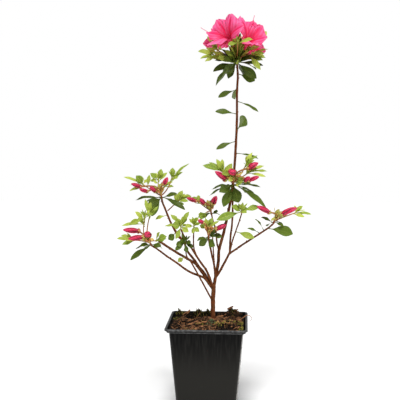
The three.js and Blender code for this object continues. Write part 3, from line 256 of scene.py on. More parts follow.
# Shoots and single leaves on the side of the wood: name, place, first direction, end, whether the leaves are
# old, and the leaves, measured from the place
SIDE_SHOOTS = [
    ("centre_left_rosette", (-36, -12, 248), (-0.3, 0, 0.95), (0, 0, 5), False, [(-14, 0, 20, 6, 30),
        (11, 2, 24, 6, 30), (-11, -12, 7, 10, 60), (-23, 2, 4, 5, 10), (11, -8, -3, 7, 40),
        (-6, -12, -12, 6, 30), (7, 8, 17, 6, 20), (-8, 16, 8, 7, 0), (8, 18, 4, 6, 0)]),
    ("centre_right_rosette", (-19, -6, 248), (0, 0, 1), (0.4, -0.3, 4.5), False, [(4, -2, 16, 6, 30),
        (-6, -4, 14, 6, 30), (10, -6, 8, 6, 20), (-10, -8, 4, 6, 30), (8, -9, -3, 6, 40),
        (-2, -10, -5, 6, 40), (2, 12, 9, 6, 0)]),
    ("low_rosette", (-30, -14, 226), (0, 0, 1), (0, 0, 4), True, [(-12, -4, 1, 7, 40), (-13, -5, -6, 6, 30),
        (-6, -6, 8, 6, 30), (8, -5, 5, 6, 30), (11, 0, -2, 6, 20), (4, -9, -8, 6, 30), (-2, 11, 0, 7, 0)]),
    ("twin_stem_leaves", (7, -8, 234), (0, 0, 1), (0, 0, 4), True, [(13, -4, 4, 6, 30), (10, 8, 2, 6, 0),
        (-4, 8, 7, 6, 10)]),
    ("fork_rosette", (46, -24, 270), (0.1, -0.1, 1), (0, 0, 4), False, [(-3, -2, 13, 8, 50),
        (25, -2, 10, 8, 30), (-33, -8, -7, 10, 45), (-12, -8, 12, 9, 40), (6, 10, 9, 6, 0)]),
    ("fork_node_leaf", (39.5, -14, 245), (1, 0, 0), (3, 0, 0), False, [(25, -3, -7, 8, 45)]),
    ("upper_left_side_shoot", (-57, 22, 270), (0.5, 0, 0.8), (17, 3, 16), False, [(34, 1, 20, 7, 20),
        (31, -6, 14, 6, 20), (20, 4, 28, 7, 40), (11, 8, 24, 6, 20), (23, -7, 10, 6, 30),
        (24, 14, 20, 6, 0)]),
    ("stem_leaf_1", (39, 7.6, 441), (0, 1, 0), (-1, 2, -1), True, [(-3, 7, -17, 13, 20)]),
    ("stem_leaf_2", (36.6, 5, 436), (-1, 0, 0), (-3, 0, 0), True, [(-23, -2, -10, 8, 30)]),
    ("stem_leaf_3", (41.5, 6, 420), (1, 0, 0.3), (4, -1, 2), True, [(27, -4, -14, 6, 10)]),
    ("stem_leaf_4", (36.8, 6, 404), (-1, 0, 0.2), (-4, -1, 1), True, [(-27, -4, 3, 8, 30)]),
    ("stem_leaf_5", (40.6, 6, 383), (0.8, -0.5, 0.4), (2, -1, 1), True, [(11, -5, 18, 15, 75)]),
    ("stem_leaf_6", (35.8, 11, 366), (-1, 0, 0.2), (-3, 0, 1), True, [(-25, -3, -10, 7, 30)]),
    ("stem_leaf_7", (38.8, 13, 350), (1, 0, 0.4), (5, -1, 3), True, [(30, -3, -7, 5, 10)]),
    ("stem_leaf_8", (41.2, 4, 457), (1, 0, 0.1), (3, -1, 0), True, [(22, -1, -9, 11, 50)]),
    ("branch_leaf_1", (-60.5, 21, 263), (-1, 0, 0), (-2, 0, 0), False, [(-14, -3, -5, 6, 20)]),
    ("branch_leaf_2", (-47.5, 17, 238), (-1, 0, 0), (-1, -1, 0), True, [(-8, -8, -7, 9, 60)]),
    ("branch_leaf_3", (-33, -3.5, 208), (0, -1, 0), (0, -2, 0), False, [(-6, -8, -5, 6, 40)]),
    ("branch_leaf_4", (75, -17, 249.5), (-0.5, 0, 0.8), (-1, 0, 2), True, [(-11, -4, 14, 5, 10)]),
    ("branch_leaf_5", (69, -15.5, 244.5), (-0.5, 0, 0.8), (-1, 0, 2), True, [(-15, -3, 6, 5, 10)]),
    ("branch_leaf_6", (83, -21, 249.5), (1, 0, -0.2), (6, -1, -1), True, [(31, -6, -5, 13, 35)]),
]

# Blooms: the petals' ends and the pistil's are measured from the throat
BLOOMS = [
    {"throat": (29, -4, 502), "facing": (-0.42, -0.6, 0.68), "width": 25, "pistil": (-6, -26, 14),
     "petals": [(19, -22, 15), (3, -4, 33), (-17, 4, 27), (-31, -2, 9), (-28, -21, -11)]},
    {"throat": (52, 0, 497), "facing": (0.42, -0.45, 0.79), "width": 26, "pistil": (10, -3, 36),
     "petals": [(-9, 8, 37), (10, 16, 32), (21, 4, 24), (27, -8, 6), (9, -26, -5)]},
    {"throat": (25, 18, 503), "facing": (-0.75, 0.6, 0.28), "width": 18, "pistil": (-36, 4, 19),
     "petals": [(-33, 3, -3), (-22, 12, 19), (-1, 26, 26), (3, 33, 2), (-12, 29, -8)]},
    {"throat": (51, 21, 494), "facing": (0.55, 0.78, 0.3), "width": 20, "pistil": (22, 24, 14),
     "petals": [(27, 4, -4), (17, 18, 20), (-6, 28, 20), (-2, 33, 2), (20, 14, -14)]},
]

# Blooms: where their stalks start, and the shapes of petals, funnel and stamens
BLOOM_BASE = (39, 4, 482.5)
BLOOM_FOOT_OUT = 3
# Places along a petal that are kept clear, with the share of its half width there, and the clear radius
PETAL_STATIONS = [(0.52, 0.82), (0.78, 1), (1, 0.44), (0.62, 0.8), (0.83, 0.95)]
PETAL_REACH = 2.4
PETAL_FOOT_OUT = 2.4
PETAL_BEND = 0.34
PETAL_DROOP = 0.16
PETAL_RUFFLE = 1.5
PETAL_ROUNDING = 0.1
FUNNEL_LENGTH = 13
STAMENS = 5
STAMEN_REACH = (22, 24, 26)
STAMEN_LEAN = 4
STAMEN_RISE = 3

# The row of seeded draws
DRAW_FACTOR = 16807
DRAW_RANGE = 2147483647


# Small vector helpers

FULL_TURN = 2 * math.pi


def vec(values):
    return np.array(values, dtype=float)


def unit(v):
    return v / np.linalg.norm(v)


def side_of(ahead, hint):
    """A direction square to ahead and to a hint."""
    return unit(np.cross(ahead, vec(hint)))


def along(a, b, t):
    return a + (b - a) * t


def bezier(a, bend, b, t):
    return along(along(a, bend, t), along(bend, b, t), t)


def bezier_course(a, bend, b, steps):
    return [bezier(a, bend, b, i / steps) for i in range(steps + 1)]


def tapered(first, final, steps):
    """Radii that run evenly from the first to the final one."""
    return [along(first, final, i / steps) for i in range(steps + 1)]


def spun(v, axis, angle):
    """v turned about the unit axis by an angle in radians."""
    return (v * math.cos(angle) + np.cross(axis, v) * math.sin(angle)
            + axis * np.dot(axis, v) * (1 - math.cos(angle)))


def turned(far, near, degrees):
    """far turned about the upright line through near."""
    return spun(far - near, vec((0, 0, 1)), math.radians(degrees)) + near


def beside(middle, offset, distance):
    return middle + unit(vec((offset[0], offset[1], 0))) * distance


def clamped(value):
    return min(1.0, max(0.0, value))


def smooth(low, high, value):
    t = clamped((value - low) / (high - low))
    return t * t * (3 - 2 * t)


def make_draw(seed):
    """The same seeded row of numbers as in the part's source."""
    state = [seed]

    def draw(low, high):
        state[0] = state[0] * DRAW_FACTOR % DRAW_RANGE
        return low + (high - low) * state[0] / DRAW_RANGE
    return draw


def branch_course(points, steps):
    """Evenly spaced places on the smooth curve through a branch's points."""
    points = [vec(p) for p in points]
    last = len(points) - 1
    course = []
    for i in range(steps + 1):
        place = last * i / steps
        k = min(int(place), last - 1)
        t = place - k
        before = points[k - 1] if k > 0 else 2 * points[0] - points[1]
        after = points[k + 2] if k + 2 <= last else 2 * points[last] - points[last - 1]
        start, end = points[k], points[k + 1]
        leave, arrive = 0.5 * (end - before), 0.5 * (after - start)
        course.append(start + leave * t + (3 * (end - start) - 2 * leave - arrive) * t * t
                      + (2 * (start - end) + leave + arrive) * t ** 3)
    return course


def tip_frame(tip):
    return vec(tip["at"]), unit(vec(tip["axis"]))


def bloom_frame(bloom):
    return vec(bloom["throat"]), unit(vec(bloom["facing"]))


def sideways_of(facing):
    return unit(vec((facing[1], -facing[0], 0)))


def bud_ends(bud, at):
    """A bud's foot, its point and its thickness."""
    return vec(bud[:3]) + at, vec(bud[3:6]) + at, bud[6]


# Where every part already is, so that the next one keeps clear of it

class Places:
    """Points, each with its radius and the node that it belongs to."""

    def __init__(self):
        self.points = np.zeros((0, 3))
        self.radii = np.zeros(0)
        self.nodes = np.zeros(0, dtype=object)

    def keep(self, samples, node):
        self.points = np.vstack([self.points, [point for point, _ in samples]])
        self.radii = np.concatenate([self.radii, [radius for _, radius in samples]])
        self.nodes = np.concatenate([self.nodes, np.array([node] * len(samples), dtype=object)])

    def is_clear(self, samples, node):
        others = self.nodes != node
        points, radii = self.points[others], self.radii[others]
        for point, radius in samples:
            away = np.sqrt(((points - point) ** 2).sum(axis=1))
            if (away <= radii + radius).any():
                return False
        return True

    def clear_turn(self, sampler, node):
        for i in range(2 * TURNS + 1):
            angle = TURN_STEP * math.ceil(i / 2) * (1 if i % 2 else -1)
            if self.is_clear(sampler(angle), node):
                return angle
        return None

    def bark_foot(self, at):
        """The place on the bark nearest to the given one. A place at a branch's end stays as it is."""
        wood = self.nodes == "wood"
        points, radii = self.points[wood], self.radii[wood]
        nearest = int(((points - at) ** 2).sum(axis=1).argmin())
        away = at - points[nearest]
        length = np.linalg.norm(away)
        if length < 1:
            return at.copy()
        return points[nearest] + away * radii[nearest] / length


places = Places()


# Forms: sheets, tubes and blades that are gathered into one piece

# Edges sharper than this many degrees stay sharp
SHARP_FROM = 42


def new_object(name, data):
    made = bpy.data.objects.new(name, data)
    bpy.context.collection.objects.link(made)
    return made


class Form:
    """Gathers faces in millimetres. Each point has a place on its sheet and a tint from 0 to 1."""

    def __init__(self):
        self.points = []
        self.uvs = []
        self.tints = []
        self.faces = []
        self.looks = []

    def sheet(self, rows, tint=0.5, look=0, closed=False):
        """A grid of points. tint is one number, or a number for each point in rows of the same length."""
        start = len(self.points)
        count = len(rows[0])
        across = count if closed else count - 1
        for i, row in enumerate(rows):
            for j, point in enumerate(row):
                self.points.append(point)
                self.uvs.append((j / across, i / (len(rows) - 1)))
                self.tints.append(tint if isinstance(tint, (int, float)) else tint[i][j])
        for i in range(len(rows) - 1):
            for j in range(across):
                a = start + i * count + j
                b = start + i * count + (j + 1) % count
                self.faces.append((a, b, b + count, a + count))
                self.looks.append(look)
        return start

    def cap(self, start, count, look=0, back=False):
        ring = list(range(start, start + count))
        self.faces.append(tuple(ring if back else reversed(ring)))
        self.looks.append(look)

    def tube(self, course, radii, sides, tint=0.5, look=0, ends=(True, True)):
        """A round tube along a course, with a radius for each place or for each place and side."""
        rows = []
        side = None
        for i, point in enumerate(course):
            ahead = unit(course[min(i + 1, len(course) - 1)] - course[max(i - 1, 0)])
            if side is None:
                side = vec((0, 1, 0)) if abs(ahead[0]) > 0.8 else vec((1, 0, 0))
            side = unit(side - ahead * np.dot(side, ahead))
            up = np.cross(ahead, side)
            radius = radii[i] if isinstance(radii[i], (list, tuple)) else [radii[i]] * sides
            angles = [FULL_TURN * k / sides for k in range(sides)]
            rows.append([point + (side * math.cos(a) + up * math.sin(a)) * r for a, r in zip(angles, radius)])
        start = self.sheet(rows, tint, look, closed=True)
        if ends[0]:
            self.cap(start, sides, look)
        if ends[1]:
            self.cap(start + (len(rows) - 1) * sides, sides, look, back=True)

    def piece(self, name, looks, slot, *nodes):
        mesh = bpy.data.meshes.new(name)
        mesh.from_pydata([tuple(p / 1000) for p in self.points], [], self.faces)
        mesh.update()
        uv_map = mesh.uv_layers.new(name="sheet")
        corners = np.zeros(len(mesh.loops), dtype=np.int32)
        mesh.loops.foreach_get("vertex_index", corners)
        uv_map.data.foreach_set("uv", np.array(self.uvs, dtype=np.float32)[corners].ravel())
        tint = mesh.attributes.new("tint", "FLOAT", "POINT")
        tint.data.foreach_set("value", np.array(self.tints, dtype=np.float32))
        for look in looks:
            mesh.materials.append(look)
        mesh.polygons.foreach_set("material_index", np.array(self.looks, dtype=np.int32))
        mesh.polygons.foreach_set("use_smooth", np.ones(len(mesh.polygons), dtype=bool))
        mesh.set_sharp_from_angle(angle=math.radians(SHARP_FROM))
        mesh.update()
        made = new_object(name, mesh)
        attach(made, "root")
        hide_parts(*nodes)
        return made


# Blades

# How far out a blade is widest, how full its outline is, and its width as a share of the given one
SOLID_OUTLINE = (1.5, 0.75, BROADER)
OLD_OUTLINE = (1.45, 0.8, 1.2)
YOUNG_OUTLINE = (1.3, 1.0, 1.14)
# The places along a blade and a stem, and the share of its width, at which it keeps clear of others
SAMPLE_STATIONS = (0.3, 0.45, 0.6, 0.75, 0.9, 1)
SAMPLE_STEPS = 6
SAMPLE_SHARE = 0.8
BLADE_STATIONS = [0, 0.06, 0.12, 0.2, 0.3, 0.41, 0.53, 0.65, 0.76, 0.86, 0.93, 0.98, 1]
BLADE_COLUMNS = [-1, -0.66, -0.33, 0, 0.33, 0.66, 1]
BLADE_TIP_HALF = 0.12
# How much a blade twists, folds and droops from one to the next, and its wave's height and pace
BLADE_TWIST = (-0.25, 0.25)
BLADE_FOLD = 0.36
BLADE_FOLD_SPREAD = (0.6, 1.3)
BLADE_DROOP = (-0.01, 0.035)
BLADE_WAVE = 0.5
BLADE_WAVE_PACE = 14
# Leaves longer than this have a round stalk, which starts a little before the blade's own foot
STALK_FROM_LENGTH = 11
STALK_START = 0.8
STALK_STATIONS = (0.07, 0.14, 0.24)
STALK_RADII = (0.62, 0.55, 0.48, 0.25)
STALK_SIDES = 5
STALK_TINT = 0.6
# A broad young leaf is older, and so darker by this share between these widths
BROAD_DARKER = 0.75
BROAD_WIDTHS = (6.5, 9.5)


def blade_frame(foot, tip, face):
    ahead = tip - foot
    length = np.linalg.norm(ahead)
    ahead = ahead / length
    up = vec((0, 0, 1)) - ahead * ahead[2]
    if np.linalg.norm(up) < 0.05:
        up = vec((0, -1, 0))
    up = unit(up)
    sideways = np.cross(ahead, up)
    if sideways[1] > 0:
        sideways = -sideways
    turn = math.radians(face + FACE_LEAN)
    normal = up * math.cos(turn) + sideways * math.sin(turn)
    return {"foot": foot, "tip": tip, "length": length, "ahead": ahead, "normal": normal,
            "side": np.cross(normal, ahead)}


def blade_middle(shape, t):
    arch = BLADE_ARCH * shape["length"] * 4 * t * (1 - t)
    return along(shape["foot"], shape["tip"], t) + shape["normal"] * arch


def outline_share(t, outline):
    """A blade's half width as a share of half the given width: a short stalk, then widest past the middle."""
    bias, fullness, breadth = outline
    s = max(0.0, (t - STALK_SHARE) / (1 - STALK_SHARE))
    return breadth * max(0.1 * (1 - t), math.sin(math.pi * min(1.0, s) ** bias) ** fullness)


def blade_samples(foot, tip, width, face):
    shape = blade_frame(foot, tip, face)
    samples = []
    for t in SAMPLE_STATIONS:
        middle = blade_middle(shape, t)
        half = width / 2 * outline_share(t, SOLID_OUTLINE) * SAMPLE_SHARE
        samples.append((middle, BLADE_REACH))
        if half > 2:
            samples.append((middle + shape["side"] * half, BLADE_REACH))
            samples.append((middle - shape["side"] * half, BLADE_REACH))
    return samples


def add_blade(form, foot, tip, width, face, draw, look=0, outline=OLD_OUTLINE):
    """A leaf: a thin arched sheet, folded along its midrib, with a faint wave at its edges."""
    shape = blade_frame(foot, tip, face)
    phase = draw(0, FULL_TURN)
    twist = draw(*BLADE_TWIST)
    fold = BLADE_FOLD * draw(*BLADE_FOLD_SPREAD)
    droop = draw(*BLADE_DROOP) * shape["length"]
    tint = draw(0, 1)
    if outline is YOUNG_OUTLINE:
        tint *= 1 - BROAD_DARKER * smooth(*BROAD_WIDTHS, width)
    if shape["length"] > STALK_FROM_LENGTH:
        stalk = [foot - shape["ahead"] * STALK_START, *[blade_middle(shape, t) for t in STALK_STATIONS]]
        form.tube(stalk, STALK_RADII, STALK_SIDES, max(tint, STALK_TINT), look)
    rows = []
    for t in BLADE_STATIONS:
        half = BLADE_TIP_HALF
        if t < 1:
            half = max(STALK_HALF * (1 - 0.9 * t), width / 2 * outline_share(t, outline))
        side = spun(shape["side"], shape["ahead"], twist * (t - 0.5))
        normal = np.cross(shape["ahead"], side)
        middle = blade_middle(shape, t) + normal * (-0.3 - droop * t * t)
        row = []
        for u in BLADE_COLUMNS:
            wave = math.sin(BLADE_WAVE_PACE * t + phase + (2 if u > 0 else 0))
            rise = fold * half * abs(u) ** 0.8 - 0.1 * half * u * u
            rise += BLADE_WAVE * abs(u) ** 2 * wave * min(1, half / 3)
            row.append(middle + side * half * u + normal * rise)
        rows.append(row)
    form.sheet(rows, tint, look)


def stem_course(foot, axis, end, steps):
    bend = foot + axis * np.linalg.norm(end - foot) * STEM_BEND
    return bezier_course(foot, bend, end, steps)


def stem_samples(foot, axis, end, radius):
    return [(point, radius + GAP) for point in stem_course(foot, axis, end, SAMPLE_STEPS)[2:]]


# Growing the plant, in the same order and by the same rules as its solids

def grow_leaf(grown, foot, leaf, at, node, shy=False):
    """Notes one leaf if it finds a clear place near the one it was given."""
    x, y, z, width, face = leaf
    tip = vec((x, y, z)) + at

    def sampler(degrees):
        return blade_samples(foot, turned(tip, foot, degrees), width, face)

    angle = places.clear_turn(sampler, None if shy else node)
    if angle is None and not grown:
        angle = 0
    if angle is None:
        return
    places.keep(sampler(angle), node)
    grown.append(("blade", foot, turned(tip, foot, angle), width, face))


def grow_fillers(grown, feet, count, at, node):
    draw = make_draw(FILLER_SEED + len(node))
    for i in range(count):
        foot = feet[i % len(feet)]
        angle = draw(0, FULL_TURN)
        length = draw(*FILLER_LENGTH)
        rise = draw(-0.2, 0.9)
        tip = unit(vec((math.cos(angle), math.sin(angle), rise))) * length + foot - at
        grow_leaf(grown, foot, [*tip, draw(*FILLER_WIDTH), draw(0, 45)], at, node, shy=True)


def grow_wood():
    for first, final, points in BRANCHES:
        course = branch_course(points, 8 * len(points))
        last = len(course) - 1
        places.keep([(point, first + (final - first) * i / last + GAP)
                     for i, point in enumerate(course)], "wood")


def petal_frame(bloom, tip):
    throat, facing = bloom_frame(bloom)
    tip = vec(tip)
    side = unit(np.cross(facing, tip))
    outward = unit(np.cross(side, facing))
    return {
        "side": side, "width": bloom["width"],
        "foot": throat + outward * PETAL_FOOT_OUT - facing * 2,
        "bend": throat + facing * PETAL_BEND * np.linalg.norm(tip) + outward * 2,
        "end": throat + tip,
    }


def petal_point(shape, t, u, share):
    foot, bend, end = shape["foot"], shape["bend"], shape["end"]
    middle = bezier(foot, bend, end, t)
    ahead = unit(bezier(foot, bend, end, t + 0.01) - middle)
    normal = unit(np.cross(ahead, shape["side"]))
    half = shape["width"] / 2 * share
    cup = -PETAL_DROOP * half * u * u + PETAL_RUFFLE * u * min(1, 2 * t)
    past = max(0, t - 0.8) / 0.2
    rounding = -PETAL_ROUNDING * np.linalg.norm(end - foot) * u * u * past
    return middle + shape["side"] * half * u + normal * cup + ahead * rounding, normal


def bloom_stalk(bloom):
    """Where a bloom's tube starts, the direction of that place from the tip, and the stalk's foot."""
    throat, facing = bloom_frame(bloom)
    calyx = throat - facing * FUNNEL_LENGTH
    base = vec(BLOOM_BASE)
    outward = unit(calyx - base)
    return calyx, outward, beside(base, outward, BLOOM_FOOT_OUT)


def grow_bloom(bloom, node):
    throat = bloom_frame(bloom)[0]
    for offset in bloom["petals"]:
        shape = petal_frame(bloom, offset)
        places.keep([(petal_point(shape, t, u, share)[0], PETAL_REACH)
                     for t, share in PETAL_STATIONS for u in (-0.9, -0.45, 0, 0.45, 0.9)], node)
    calyx, outward, foot = bloom_stalk(bloom)
    places.keep(stem_samples(foot, outward, calyx, 1), node)
    places.keep([(along(calyx, throat, t), 1.6 + 2.4 * t) for t in (0, 0.3, 0.6, 0.9)], node)
    for i in range(STAMENS + 1):
        start, end = stamen_ends(bloom, i)
        places.keep([(along(start, end, t), 0.8) for t in (0.4, 0.7, 1)], node)


def stamen_ends(bloom, i):
    """The two ends of a stamen, or of the pistil, which comes last."""
    throat, facing = bloom_frame(bloom)
    lean = spun(sideways_of(facing), facing, FULL_TURN * i / STAMENS)
    end = throat + facing * STAMEN_REACH[i % len(STAMEN_REACH)] + lean * STAMEN_LEAN
    end[2] += STAMEN_RISE
    if i == STAMENS:
        end = throat + vec(bloom["pistil"])
    return throat + facing * 0.5 + lean * 1.5, end


def grow_buds(tip):
    node = f"{tip['name']}_buds"
    at, axis = tip_frame(tip)
    foot = at + axis * (BUD_CORE[0] + BUD_CORE[1]) / 2
    for bud in tip["buds"]:
        base, point, thickness = bud_ends(bud, at)
        places.keep(stem_samples(foot, axis, base, 0.9), node)
        places.keep([(along(base, point, t), thickness / 2 * 0.9) for t in (0.1, 0.3, 0.5, 0.7, 0.9)], node)
    for x, y, z, width in tip["scales"]:
        places.keep(blade_samples(foot, vec((x, y, z)) + at, width, SCALE_FACE), node)


def grow_side_shoot(node, at, axis, end, leaves):
    """The foot, the end and the leaves of a shoot on the side of the wood."""
    at, axis = vec(at), unit(vec(axis))
    lone = len(leaves) == 1
    foot = places.bark_foot(at) + axis * (LONE_LEAF_OUT if lone else SIDE_SHOOT_OUT)
    end = vec(end) + foot
    grown = []
    if not lone:
        grown.append(("stem", [foot, end]))
        places.keep(stem_samples(foot, axis, end, 0.8), node)
    for i, leaf in enumerate(leaves):
        share = 0 if lone else 0.95 - 0.7 * i / len(leaves)
        grow_leaf(grown, along(foot, end, share), leaf, at, node)
    if len(leaves) > 4:
        grow_fillers(grown, [along(foot, end, 0.97)], ROSETTE_FILLERS, at, node)
    return grown


def grow_old_leaves(tip, node):
    at, axis = tip_frame(tip)
    low, high = OLD_CORE
    grown = [("core", [at + axis * low, at + axis * high])]
    for i, leaf in enumerate(tip["old"]):
        rise = low + 1 + (high - low - 1.6) * (i * SPREAD % 1)
        grow_leaf(grown, beside(at + axis * rise, leaf, 0.9), leaf, at, node)
    return grown


def grow_young_shoots(tip, node):
    at, axis = tip_frame(tip)
    low, high = YOUNG_CORE
    top = high if tip["buds"] else TOP_CORE_END
    grown = [("core", [at + axis * low, at + axis * top])]
    ends = []
    for i, (offset, leaves) in enumerate(tip["shoots"]):
        rise = low + 1 + (high - low - 2) * (i * SPREAD % 1)
        foot = beside(at + axis * rise, offset, 0.8)
        start = unit(unit(vec((offset[0], offset[1], 0))) + axis * STEM_OUTWARD_RISE)
        end = vec(offset) + at

        def sampler(degrees):
            return stem_samples(foot, start, turned(end, foot, degrees), STEM_RADIUS)

        angle = places.clear_turn(sampler, node) or 0
        place = turned(end, foot, angle)
        places.keep(sampler(angle), node)
        grown.append(("stem", stem_course(foot, start, place, 8)))
        course = stem_course(foot, start, place, 2)
        for j, leaf in enumerate(leaves):
            moved = turned(vec(leaf[:3]) + at, foot, angle) - at
            back = along(course[-1], course[-2], FIRST_LEAF_BACK + LEAF_SPACING * j)
            grow_leaf(grown, back, [*moved, leaf[3], leaf[4]], at, node)
        ends.append(along(course[-1], course[-2], FIRST_LEAF_BACK / 2))
    grow_fillers(grown, ends, FILLERS * len(ends), at, node)
    return grown


# Materials

def srgb(colour):
    """A colour as the screen shows it, from 0 to 255, as the renderer's own. A socket stays as it is."""
    if not isinstance(colour, tuple):
        return colour
    parts = [c / 255 / 12.92 if c < 10.3 else ((c / 255 + 0.055) / 1.055) ** 2.4 for c in colour]
    return (*parts, 1.0)


class Paint:
    """A material's node tree, with short ways to add what these materials need."""

    def __init__(self, name, roughness, specular):
        self.material = bpy.data.materials.new(name)
        self.material.use_nodes = True
        self.tree = self.material.node_tree
        self.surface = self.tree.nodes["Principled BSDF"]
        self.output = self.tree.nodes["Material Output"]
        self.surface.inputs["Roughness"].default_value = roughness
        self.surface.inputs["Specular IOR Level"].default_value = specular
        self.places = self.node("ShaderNodeTexCoord")

    def node(self, kind, **settings):
        made = self.tree.nodes.new(kind)
        for name, value in settings.items():
            setattr(made, name, value)
        return made

    def link(self, source, target):
        self.tree.links.new(source, target)

    def put(self, socket, value):
        if isinstance(value, bpy.types.NodeSocket):
            self.link(value, socket)
        else:
            socket.default_value = value

    def tint(self):
        return self.node("ShaderNodeAttribute", attribute_name="tint").outputs["Fac"]

    def sheet_place(self):
        return self.node("ShaderNodeUVMap", uv_map="sheet").outputs["UV"]

    def split(self, place):
        """The x, y and z of a place."""
        made = self.node("ShaderNodeSeparateXYZ")
        self.link(place, made.inputs[0])
        return list(made.outputs)

    def sheet(self):
        """The place across and along a sheet, each from 0 to 1."""
        return self.split(self.sheet_place())[:2]

    def maths(self, operation, a, b=0.5):
        made = self.node("ShaderNodeMath", operation=operation)
        self.put(made.inputs[0], a)
        self.put(made.inputs[1], b)
        return made.outputs[0]

    def times(self, a, b):
        return self.maths("MULTIPLY", a, b)

    def less(self, a, b):
        return self.maths("SUBTRACT", a, b)

    def rest(self, share):
        """What is left of 1."""
        return self.less(1.0, share)

    def off(self, a, b):
        """How far a is from b."""
        return self.maths("ABSOLUTE", self.less(a, b))

    def ramp(self, value, low, high):
        """value taken from low..high to 0..1, softly."""
        made = self.node("ShaderNodeMapRange", interpolation_type="SMOOTHSTEP")
        self.put(made.inputs["Value"], value)
        self.put(made.inputs["From Min"], low)
        self.put(made.inputs["From Max"], high)
        return made.outputs["Result"]

    def ramp_mm(self, value, low, high):
        """The same for a length, with its limits in millimetres."""
        return self.ramp(value, low / 1000, high / 1000)

    def mix(self, share, a, b):
        made = self.node("ShaderNodeMix", data_type="RGBA", blend_type="MIX")
        self.put(made.inputs[0], share)
        self.put(made.inputs[6], srgb(a))
        self.put(made.inputs[7], srgb(b))
        return made.outputs[2]

    def over(self, shade, colour, share, amount):
        """A shade with a colour laid over it, by an amount of a share."""
        return self.mix(self.times(share, amount), shade, colour)

    def stretched(self, place, scale):
        mapping = self.node("ShaderNodeMapping")
        mapping.inputs["Scale"].default_value = scale
        self.link(place, mapping.inputs["Vector"])
        return mapping.outputs["Vector"]

    def noise_at(self, place, scale, detail):
        made = self.node("ShaderNodeTexNoise")
        made.inputs["Scale"].default_value = scale
        made.inputs["Detail"].default_value = detail
        self.link(place, made.inputs["Vector"])
        return made.outputs[0]

    def noise(self, per_metre, detail, stretch=(1, 1, 1)):
        return self.noise_at(self.stretched(self.places.outputs["Object"], stretch), per_metre, detail)

    def spots(self, low, high, *noise):
        """Soft spots where the noise is high."""
        return self.ramp(self.noise(*noise), low, high)

    def sheet_noise(self, across, lengthways):
        """Noise that runs along a sheet, with its grains given by counts across and along it."""
        shifted = self.node("ShaderNodeVectorMath", operation="ADD")
        self.link(self.stretched(self.sheet_place(), (across, lengthways, 1)), shifted.inputs[0])
        spread = self.node("ShaderNodeCombineXYZ")
        self.link(self.times(self.tint(), 37.0), spread.inputs["Z"])
        self.link(spread.outputs[0], shifted.inputs[1])
        return self.noise_at(shifted.outputs[0], 1.0, 2.0)

    def bump(self, height, distance, strength):
        made = self.node("ShaderNodeBump")
        made.inputs["Strength"].default_value = strength
        made.inputs["Distance"].default_value = distance
        self.link(height, made.inputs["Height"])
        self.link(made.outputs[0], self.surface.inputs["Normal"])

    def finish(self, colour, see_through=0.0):
        """Sets the colour, and lets a share of the light through a thin sheet."""
        self.put(self.surface.inputs["Base Color"], colour)
        if see_through:
            light = self.node("ShaderNodeBsdfTranslucent")
            self.put(light.inputs["Color"], colour)
            both = self.node("ShaderNodeMixShader")
            both.inputs[0].default_value = see_through
            self.link(self.surface.outputs[0], both.inputs[1])
            self.link(light.outputs[0], both.inputs[2])
            self.link(both.outputs[0], self.output.inputs["Surface"])
        return self.material


def leaf_paint(name, dark, light, under, vein, roughness, shine, see_through):
    """A leaf: each its own shade, mottled, with a pale midrib, side veins and a duller underside."""
    paint = Paint(name, roughness, shine)
    across, lengthways = paint.sheet()
    shade = paint.mix(paint.tint(), dark, light)
    shade = paint.over(shade, dark, paint.ramp(lengthways, 0.7, 0.1), 0.3)
    mottle = paint.spots(0.35, 0.7, 260, 3)
    shade = paint.over(shade, vein, mottle, 0.28)
    from_rib = paint.off(across, 0.5)
    fan = paint.maths("ADD", paint.times(lengthways, 7.0), paint.times(from_rib, -4.5))
    wave = paint.off(paint.maths("FRACT", fan), 0.5)
    side_vein = paint.times(paint.rest(paint.ramp(wave, 0.02, 0.12)), 0.35)
    rib = paint.rest(paint.ramp(from_rib, 0.02, 0.06))
    veins = paint.maths("MAXIMUM", rib, side_vein)
    shade = paint.over(shade, vein, veins, 0.55)
    back = paint.node("ShaderNodeNewGeometry").outputs["Backfacing"]
    shade = paint.over(shade, under, back, 0.4)
    paint.bump(paint.less(mottle, veins), 0.0003, 0.5)
    return paint.finish(shade, see_through)


def petal_paint():
    """Bright pink, crimson towards the throat in streaks that run along the petal."""
    paint = Paint("petal_skin", 0.55, 0.25)
    across, lengthways = paint.sheet()
    reach = paint.maths("ADD", lengthways, paint.times(paint.less(paint.sheet_noise(9, 0.9), 0.5), -0.55))
    deep = paint.rest(paint.ramp(reach, 0.12, 0.72))
    rib = paint.rest(paint.ramp(paint.off(across, 0.5), 0.0, 0.13))
    rib = paint.times(rib, paint.rest(paint.ramp(lengthways, 0.3, 0.95)))
    deep = paint.maths("MAXIMUM", deep, paint.times(rib, 0.75))
    # The tint holds each petal's own shade and the painted light and shade of its frills, wrinkles and groove
    shade = paint.mix(paint.ramp(paint.tint(), 0.15, 0.85), (240, 46, 114), (254, 132, 190))
    shade = paint.over(shade, (252, 150, 192), paint.ramp(lengthways, 0.7, 1.0), 0.3)
    shade = paint.over(shade, (232, 22, 70), deep, 0.85)
    shade = paint.over(shade, (196, 8, 54), paint.rest(paint.ramp(lengthways, 0.02, 0.3)), 0.6)
    paint.bump(paint.sheet_noise(22, 2.5), 0.0005, 0.5)
    return paint.finish(shade, 0.28)


